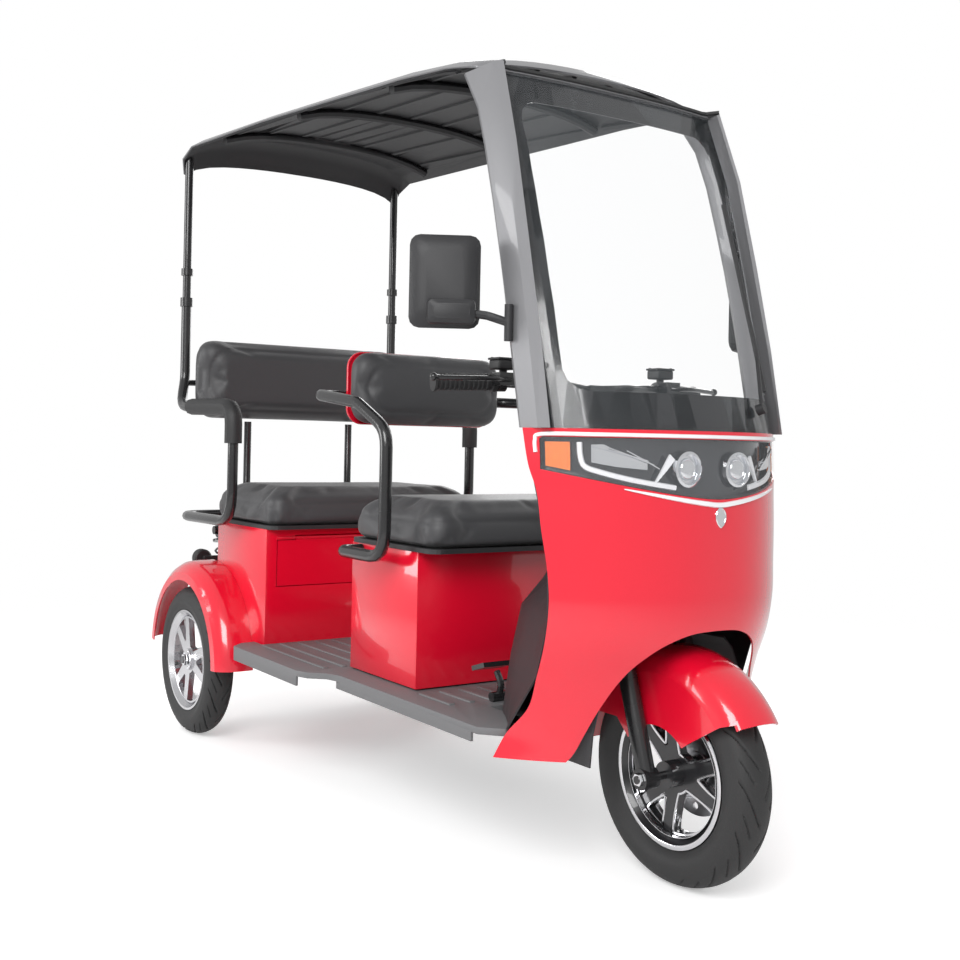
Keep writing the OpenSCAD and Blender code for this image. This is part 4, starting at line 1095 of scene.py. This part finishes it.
bm = bmesh.new()
low_run = [(y, lamp_low(y) - 7 - 4 * (1 - abs(y) / 190) ** 2) for y in range(-190, 191, 38)]
low_hits = front_hits(low_run, 0.0, 6)
n_hits = len(low_hits)
widths = [0.002 + 0.0085 * math.sin(math.pi * k / (n_hits - 1)) ** 0.7 for k in range(n_hits)]
band(bm, low_hits, widths, 0.003)
outward(bm)
low_trim = finished(bm, "trim_lamp_low", "lamp_white", "chassis")

bm = bmesh.new()
spot, normal = front_hits([(0, 700), (1, 700)], 0.0, 1)[0]
turn = normal.to_track_quat("Z", "Y").to_matrix().to_4x4()
badge_spot = Matrix.Translation(spot) @ turn


def badge_ring(size, height):
    """A plain shield outline with a pointed foot, about the badge's place."""
    ring = []
    for k in range(28):
        a = 2 * math.pi * k / 28
        wide = 0.0135 * math.sin(a)
        tall = 0.0165 * math.cos(a)
        if tall < -0.006:
            tall -= (0.0135 - abs(wide)) * 0.35
        ring.append(badge_spot @ Vector((wide * size, tall * size, height)))
    return ring


skin_rings(bm, [badge_ring(1.0, -0.001), badge_ring(1.0, 0.002), badge_ring(0.93, 0.0032),
                badge_ring(0.84, 0.0032),
                badge_ring(0.8, 0.0024), badge_ring(0.4, 0.0026)])
outward(bm)
badge = finished(bm, "badge_plain", "chrome", "chassis")
print("trim:", top_trim.name, low_trim.name, badge.name)

# %% [markdown]
# The front wheel is cast and painted black, then its rim and the edges of its spokes are turned
# bright on a lathe. That leaves a bright ring and bright outlines round the windows between the
# spokes. The outlines are low bars laid on the flat of the web, so the paint stays between them.

# %% Bright edges of the front wheel
def ring_piece(name, centre, profile, mat, body, steps=96):
    """A full ring about the wheel's axle from a closed outline of (across, out) pairs."""
    bm = bmesh.new()
    verts = [bm.verts.new((centre.x, centre.y + y, centre.z + r)) for y, r in profile]
    for i in range(len(verts)):
        bm.edges.new((verts[i], verts[(i + 1) % len(verts)]))
    bmesh.ops.spin(bm, geom=bm.verts[:] + bm.edges[:], cent=centre, axis=(0, 1, 0), angle=2 * math.pi,
                   steps=steps,
                   use_merge=True)
    outward(bm)
    return finished(bm, name, mat, body)


def window_runs():
    """The outlines of the wheel's large and small windows, as (angle, radius) runs."""
    runs = []
    for k in range(3):
        turn = k * 120
        large = [(turn + 60 - 34 + 68 * i / 12, 113.5) for i in range(13)]
        large += [(turn + 60 + 19 - 38 * i / 6, 38.5) for i in range(7)]
        runs.append(large)
        small = [(turn - 13.5 + 27 * i / 6, 113.5) for i in range(7)]
        small += [(turn + 3.5, 58), (turn - 3.5, 58)]
        runs.append(small)
    return runs


def closed_band(bm, places, normal, width, height):
    """A low bar laid on a flat along a closed run of places."""
    rings = []
    n = len(places)
    for i, p in enumerate(places):
        along = (places[(i + 1) % n] - places[i - 1]).normalized()
        side = normal.cross(along).normalized()
        rings.append([p - side * width / 2 - normal * 0.0005, p + side * width / 2 - normal * 0.0005,
                      p + side * width * 0.36 + normal * height, p - side * width * 0.36 + normal * height])
    skin_rings(bm, rings, closed=True)


def rounded_run(points, cut=0.3):
    """A closed run with its corners cut and evened out twice."""
    pts = [Vector(p) for p in points]
    for _ in range(2):
        out = []
        for i, p in enumerate(pts):
            q = pts[(i + 1) % len(pts)]
            out += [p.lerp(q, cut), p.lerp(q, 1 - cut)]
        pts = out
    return pts


wheel_mid = middle("front_tyre")
bm = bmesh.new()
for face, normal in ((-0.0100, Vector((0, -1, 0))), (0.0080, Vector((0, 1, 0)))):
    for run in window_runs():
        spots = [wheel_mid + Vector((math.cos(math.radians(a)) * r / 1000, face,
                                     math.sin(math.radians(a)) * r / 1000))
                 for a, r in run]
        closed_band(bm, rounded_run(spots), normal, 0.0052, 0.0011)
outward(bm)
spoke_edges = finished(bm, "spoke_edges_front", "bright_edge", "front_wheel")
for side in (-1, 1):
    tag = "right" if side < 0 else "left"
    lip = [(side * 0.0325, 0.1285), (side * 0.0335, 0.1285), (side * 0.0342, 0.1300),
           (side * 0.0342, 0.1358),
           (side * 0.0335, 0.1377), (side * 0.0325, 0.1377)]
    ring_piece("rim_lip_" + tag, wheel_mid, lip, "bright_edge", "front_wheel")
    inner = [(side * 0.0135, 0.1176), (side * 0.0135, 0.1166), (side * 0.0250, 0.1166),
             (side * 0.0250, 0.1176)]
    ring_piece("rim_band_" + tag, wheel_mid, inner, "bright_edge", "front_wheel")
print("bright edges:", len(spoke_edges.data.polygons))

# %% [markdown]
# Each wheel has a valve, a nut sits on each end of the rear axle, and the front axle ends in a nut
# on each side of the fork. Each nut is a short six-sided prism with a hole, slightly narrower at
# its two ends, because the corners of a real one are turned off.

# %% Nuts and valves
def nut(bm, centre, across, length, bore, side):
    """A six-sided nut about an axle along Y."""
    rings = []
    for y, scale in ((0.0, 0.94), (0.0012, 1.0), (length - 0.0012, 1.0), (length, 0.93)):
        rings.append([centre + Vector((math.cos(a) * across * scale, side * y,
                                       math.sin(a) * across * scale))
                      for a in (math.pi * k / 3 for k in range(6))])
    rings.append([centre + Vector((math.cos(a) * bore, side * length, math.sin(a) * bore))
                  for a in (math.pi * k / 3 for k in range(6))])
    rings.append([centre + Vector((math.cos(a) * bore, 0, math.sin(a) * bore))
                  for a in (math.pi * k / 3 for k in range(6))])
    skin_rings(bm, rings, closed=True)


for body, node, tag in (("chassis", "rear_tyre_right", "right"), ("chassis", "rear_tyre_left", "left")):
    mid = middle(node)
    side = -1 if tag == "right" else 1
    bm = bmesh.new()
    nut(bm, mid + Vector((0, side * 0.0302, 0)), 0.0165, 0.0095, 0.0106, side)
    outward(bm)
    finished(bm, "axle_nut_" + tag, "chrome", body, sharp=25)
bm = bmesh.new()
for side in (-1, 1):
    nut(bm, wheel_mid + Vector((0, side * 0.1032, 0)), 0.0125, 0.0062, 0.0078, side)
outward(bm)
finished(bm, "axle_nuts_front", "chrome", "steering", sharp=25)

for node, body in (("front_tyre", "front_wheel"), ("rear_tyre_right", "rear_wheel_right"),
                   ("rear_tyre_left", "rear_wheel_left")):
    mid = middle(node)
    out = Vector((math.cos(math.radians(196)), 0, math.sin(math.radians(196))))
    side = 0.012 if node == "rear_tyre_left" else -0.012
    bm = bmesh.new()
    pipe(bm, [mid + out * 0.118 + Vector((0, side, 0)), mid + out * 0.098 + Vector((0, side * 1.6, 0)),
              mid + out * 0.090 + Vector((0, side * 2.0, 0))], [0.0042, 0.0036, 0.0036], 10)
    pipe(bm, [mid + out * 0.0905 + Vector((0, side * 2.0, 0)),
              mid + out * 0.084 + Vector((0, side * 2.2, 0))], 0.0044, 10)
    outward(bm)
    finished(bm, "valve_" + body, "pad_rubber", body, sharp=40)

# five screws on the cast face of each rear hub
for node, body, side in (("rear_tyre_right", "rear_wheel_right", -1),
                         ("rear_tyre_left", "rear_wheel_left", 1)):
    mid = middle(node)
    face = side * 0.0282
    bm = bmesh.new()
    for k in range(5):
        a = 2 * math.pi * k / 5
        screw_head(bm, mid + Vector((math.cos(a) * 0.0235, face, math.sin(a) * 0.0235)), (0, side, 0),
                   0.0036, 0.0022)
    outward(bm)
    finished(bm, "hub_screws_" + body, "chrome", body, sharp=40)
print("nuts and valves done")

# %% [markdown]
# Small fittings finish the real vehicle: screws that hold the screen and its border, a rubber
# seal between the roof and the screen's header, ribbed grips with a switch body and a fluid
# reservoir on each side. Screws and seal are laid on the surface under them by a ray. The grips
# and what stands beside them are placed from the box of the model's own grips. Their forms are
# simple, and the switch bodies and reservoirs are only approximate.

# %% Screws and seal of the screen
border_tree = object_tree(*[o for o in bpy.data.objects if o.type == "MESH" and "screen_border" in o.name])
pillar_tree = object_tree(*[o for o in bpy.data.objects if o.type == "MESH" and "front_pillars" in o.name])
ahead = front_axle.x + 0.6


def from_side(tree, z, side, inset):
    """The front surface at a height, some way in from a tree's outer edge."""
    for k in range(120):
        y = 0.42 - k * 0.002
        if cast(tree, (ahead, side * y, z), (-1, 0, 0)):
            return cast(tree, (ahead, side * (y - inset), z), (-1, 0, 0))
    return None


def from_above(tree, y, inset):
    """The front surface some way under a tree's upper edge."""
    for k in range(200):
        z = 1.78 - k * 0.002
        if cast(tree, (ahead, y, z), (-1, 0, 0)):
            return cast(tree, (ahead, y, z - inset), (-1, 0, 0))
    return None


bm = bmesh.new()
held = [from_side(border_tree, z, side, 0.014) for z in (1.53, 1.24, 0.97) for side in (-1, 1)]
held += [from_above(pillar_tree, y, 0.016) for y in (-0.26, -0.09, 0.09, 0.26)]
held = [h for h in held if h]
for place, normal in held:
    screw_head(bm, place, normal, 0.0058, 0.0026)
outward(bm)
finished(bm, "screen_screws", "frame_black", "chassis", sharp=40)

bm = bmesh.new()
run = [from_above(pillar_tree, -0.29 + 0.58 * k / 40, 0.004) for k in range(41)]
run = smooth_normals([h for h in run if h])
band(bm, run, 0.009, 0.004)
outward(bm)
finished(bm, "roof_seal", "pad_rubber", "chassis")
print("screen screws:", len(held), "seal places:", len(run))

# %% Grips, switch bodies and reservoirs
grip_low, grip_high = (Vector(v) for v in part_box("hand_grips"))
for side in (-1, 1):
    tag = "right" if side < 0 else "left"
    outer = Vector((grip_low.x + 0.0165, side * (grip_high.y - 0.0076), 0.946))
    along = Vector((0.2333, -side * 0.972, 0.0259)).normalized()
    stops = [(-0.0042, 0.0150), (-0.0040, 0.0195), (0.0010, 0.0200), (0.0035, 0.0163)]
    for k in range(11):
        start = 0.0075 + k * 0.0098
        stops += [(start, 0.0163), (start + 0.0012, 0.0174), (start + 0.0050, 0.0174),
                  (start + 0.0062, 0.0163)]
    bm = bmesh.new()
    pipe(bm, [outer + along * s for s, _ in stops], [r for _, r in stops], 28)
    outward(bm)
    finished(bm, "grip_ribs_" + tag, "pad_rubber", "steering", sharp=30)
    bm = bmesh.new()
    pipe(bm, [outer + along * s for s in (0.1186, 0.1196, 0.1290, 0.1300)],
         [0.0185, 0.0200, 0.0200, 0.0185], 24)
    clamp = outer + along * 0.142
    pipe(bm, [clamp + Vector((0.006, 0, 0.010)), clamp + Vector((0.006, 0, 0.026))], 0.008, 14)
    top = clamp + Vector((0.006, 0, 0.036))
    solid_block(bm, top - Vector((0.019, 0.023, 0.011)), top + Vector((0.019, 0.023, 0.009)), 0.004, 3)
    solid_block(bm, top + Vector((-0.0205, -0.0245, 0.0085)), top + Vector((0.0205, 0.0245, 0.0130)),
                0.0015, 2)
    for dx, dy in ((-0.014, -0.018), (0.014, 0.018)):
        screw_head(bm, top + Vector((dx, dy, 0.0130)), (0, 0, 1), 0.003, 0.0015)
    outward(bm)
    finished(bm, "controls_" + tag, "pad_rubber", "steering", sharp=35)
print("grips done")

# %% [markdown]
# The roof's lining is a sheet pressed with shallow ribs that run lengthwise between the bars, the
# mirrors carry a glass in a rubber edge, and the round tail lamps are black cups with an amber
# lens. The ribs are low bars that follow the lining, the rest are turned and rounded plates.

# %% Roof ribs, mirror glass and tail lamps
liner_tree = object_tree(*[o for o in bpy.data.objects if o.type == "MESH" and "roof_liner" in o.name])
bm = bmesh.new()
for y in (-0.30, -0.20, -0.10, 0.0, 0.10, 0.20, 0.30):
    for x0, x1 in ((-1476, -1084), (-1036, -664), (-616, -360)):
        run = []
        for k in range(13):
            place = at(x0 + (x1 - x0) * k / 12, 0, 1300)
            found = cast(liner_tree, (place.x, y, place.z), (0, 0, 1))
            if found:
                run.append(found)
        if len(run) > 3:
            band(bm, smooth_normals(run), 0.016, 0.0045)
outward(bm)
roof_ribs = finished(bm, "roof_ribs", "black_plastic", "chassis")

mirror_tree = object_tree(*[o for o in bpy.data.objects if o.type == "MESH" and "mirrors" in o.name])
mirror_low, mirror_high = (Vector(v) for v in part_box("mirrors"))
for side in (-1, 1):
    mid = Vector((mirror_low.x - 0.2, side * (mirror_high.y - 0.062), mirror_high.z - 0.088))
    found = cast(mirror_tree, mid, (1, 0, 0))
    if not found:
        continue
    turn = found[1].to_track_quat("Z", "Y").to_matrix()
    flat = turn @ Vector((0, 0, 1))
    across = Vector((0, 0, 1)).cross(flat).normalized()
    up = flat.cross(across).normalized()
    for name, mat, wide, high, lift in (("mirror_edge", "pad_rubber", 0.053, 0.073, 0.0022),
                                        ("mirror_glass", "chrome", 0.048, 0.068, 0.0034)):
        rings = []
        for scale, rise in ((1.0, -0.001), (1.0, lift * 0.7), (0.98, lift)):
            ring = []
            for k in range(40):
                a = 2 * math.pi * k / 40
                c, s = math.cos(a), math.sin(a)
                u = math.copysign(abs(c) ** 0.45, c) * wide * scale
                v = math.copysign(abs(s) ** 0.45, s) * high * scale
                ring.append(found[0] + across * u + up * v + flat * rise)
            rings.append(ring)
        bm = bmesh.new()
        skin_rings(bm, rings)
        outward(bm)
        finished(bm, name + ("_right" if side < 0 else "_left"), mat, "chassis", sharp=40)

tail_low, tail_high = (Vector(v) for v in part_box("tail_lamps"))
bm = bmesh.new()
lens = bmesh.new()
for side in (-1, 1):
    mid = Vector((tail_low.x, side * 0.296, 0.470))
    cup = [(0.006, 0.0245), (0.007, 0.0262), (0.030, 0.0262), (0.034, 0.0220)]
    pipe(bm, [mid + Vector((x, 0, 0)) for x, _ in cup], [r for _, r in cup], 36)
    inner = side * 0.206
    solid_block(bm, (tail_high.x - 0.012, min(inner, side * 0.30), 0.462),
                (tail_high.x, max(inner, side * 0.30), 0.478), 0.001, 1)
    dome = [(0.0062, 0.0244), (0.003, 0.0236), (0.0008, 0.017), (0.0, 0.009)]
    pipe(lens, [mid + Vector((x, 0, 0)) for x, _ in dome], [r for _, r in dome], 36)
outward(bm)
tail_body = finished(bm, "tail_lamp_cups", "pad_rubber", "chassis", sharp=40)
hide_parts("tail_lamps")
outward(lens)
finished(lens, "tail_lamp_lenses", "lamp_amber", "chassis", sharp=40)
print("roof ribs:", len(roof_ribs.data.polygons))
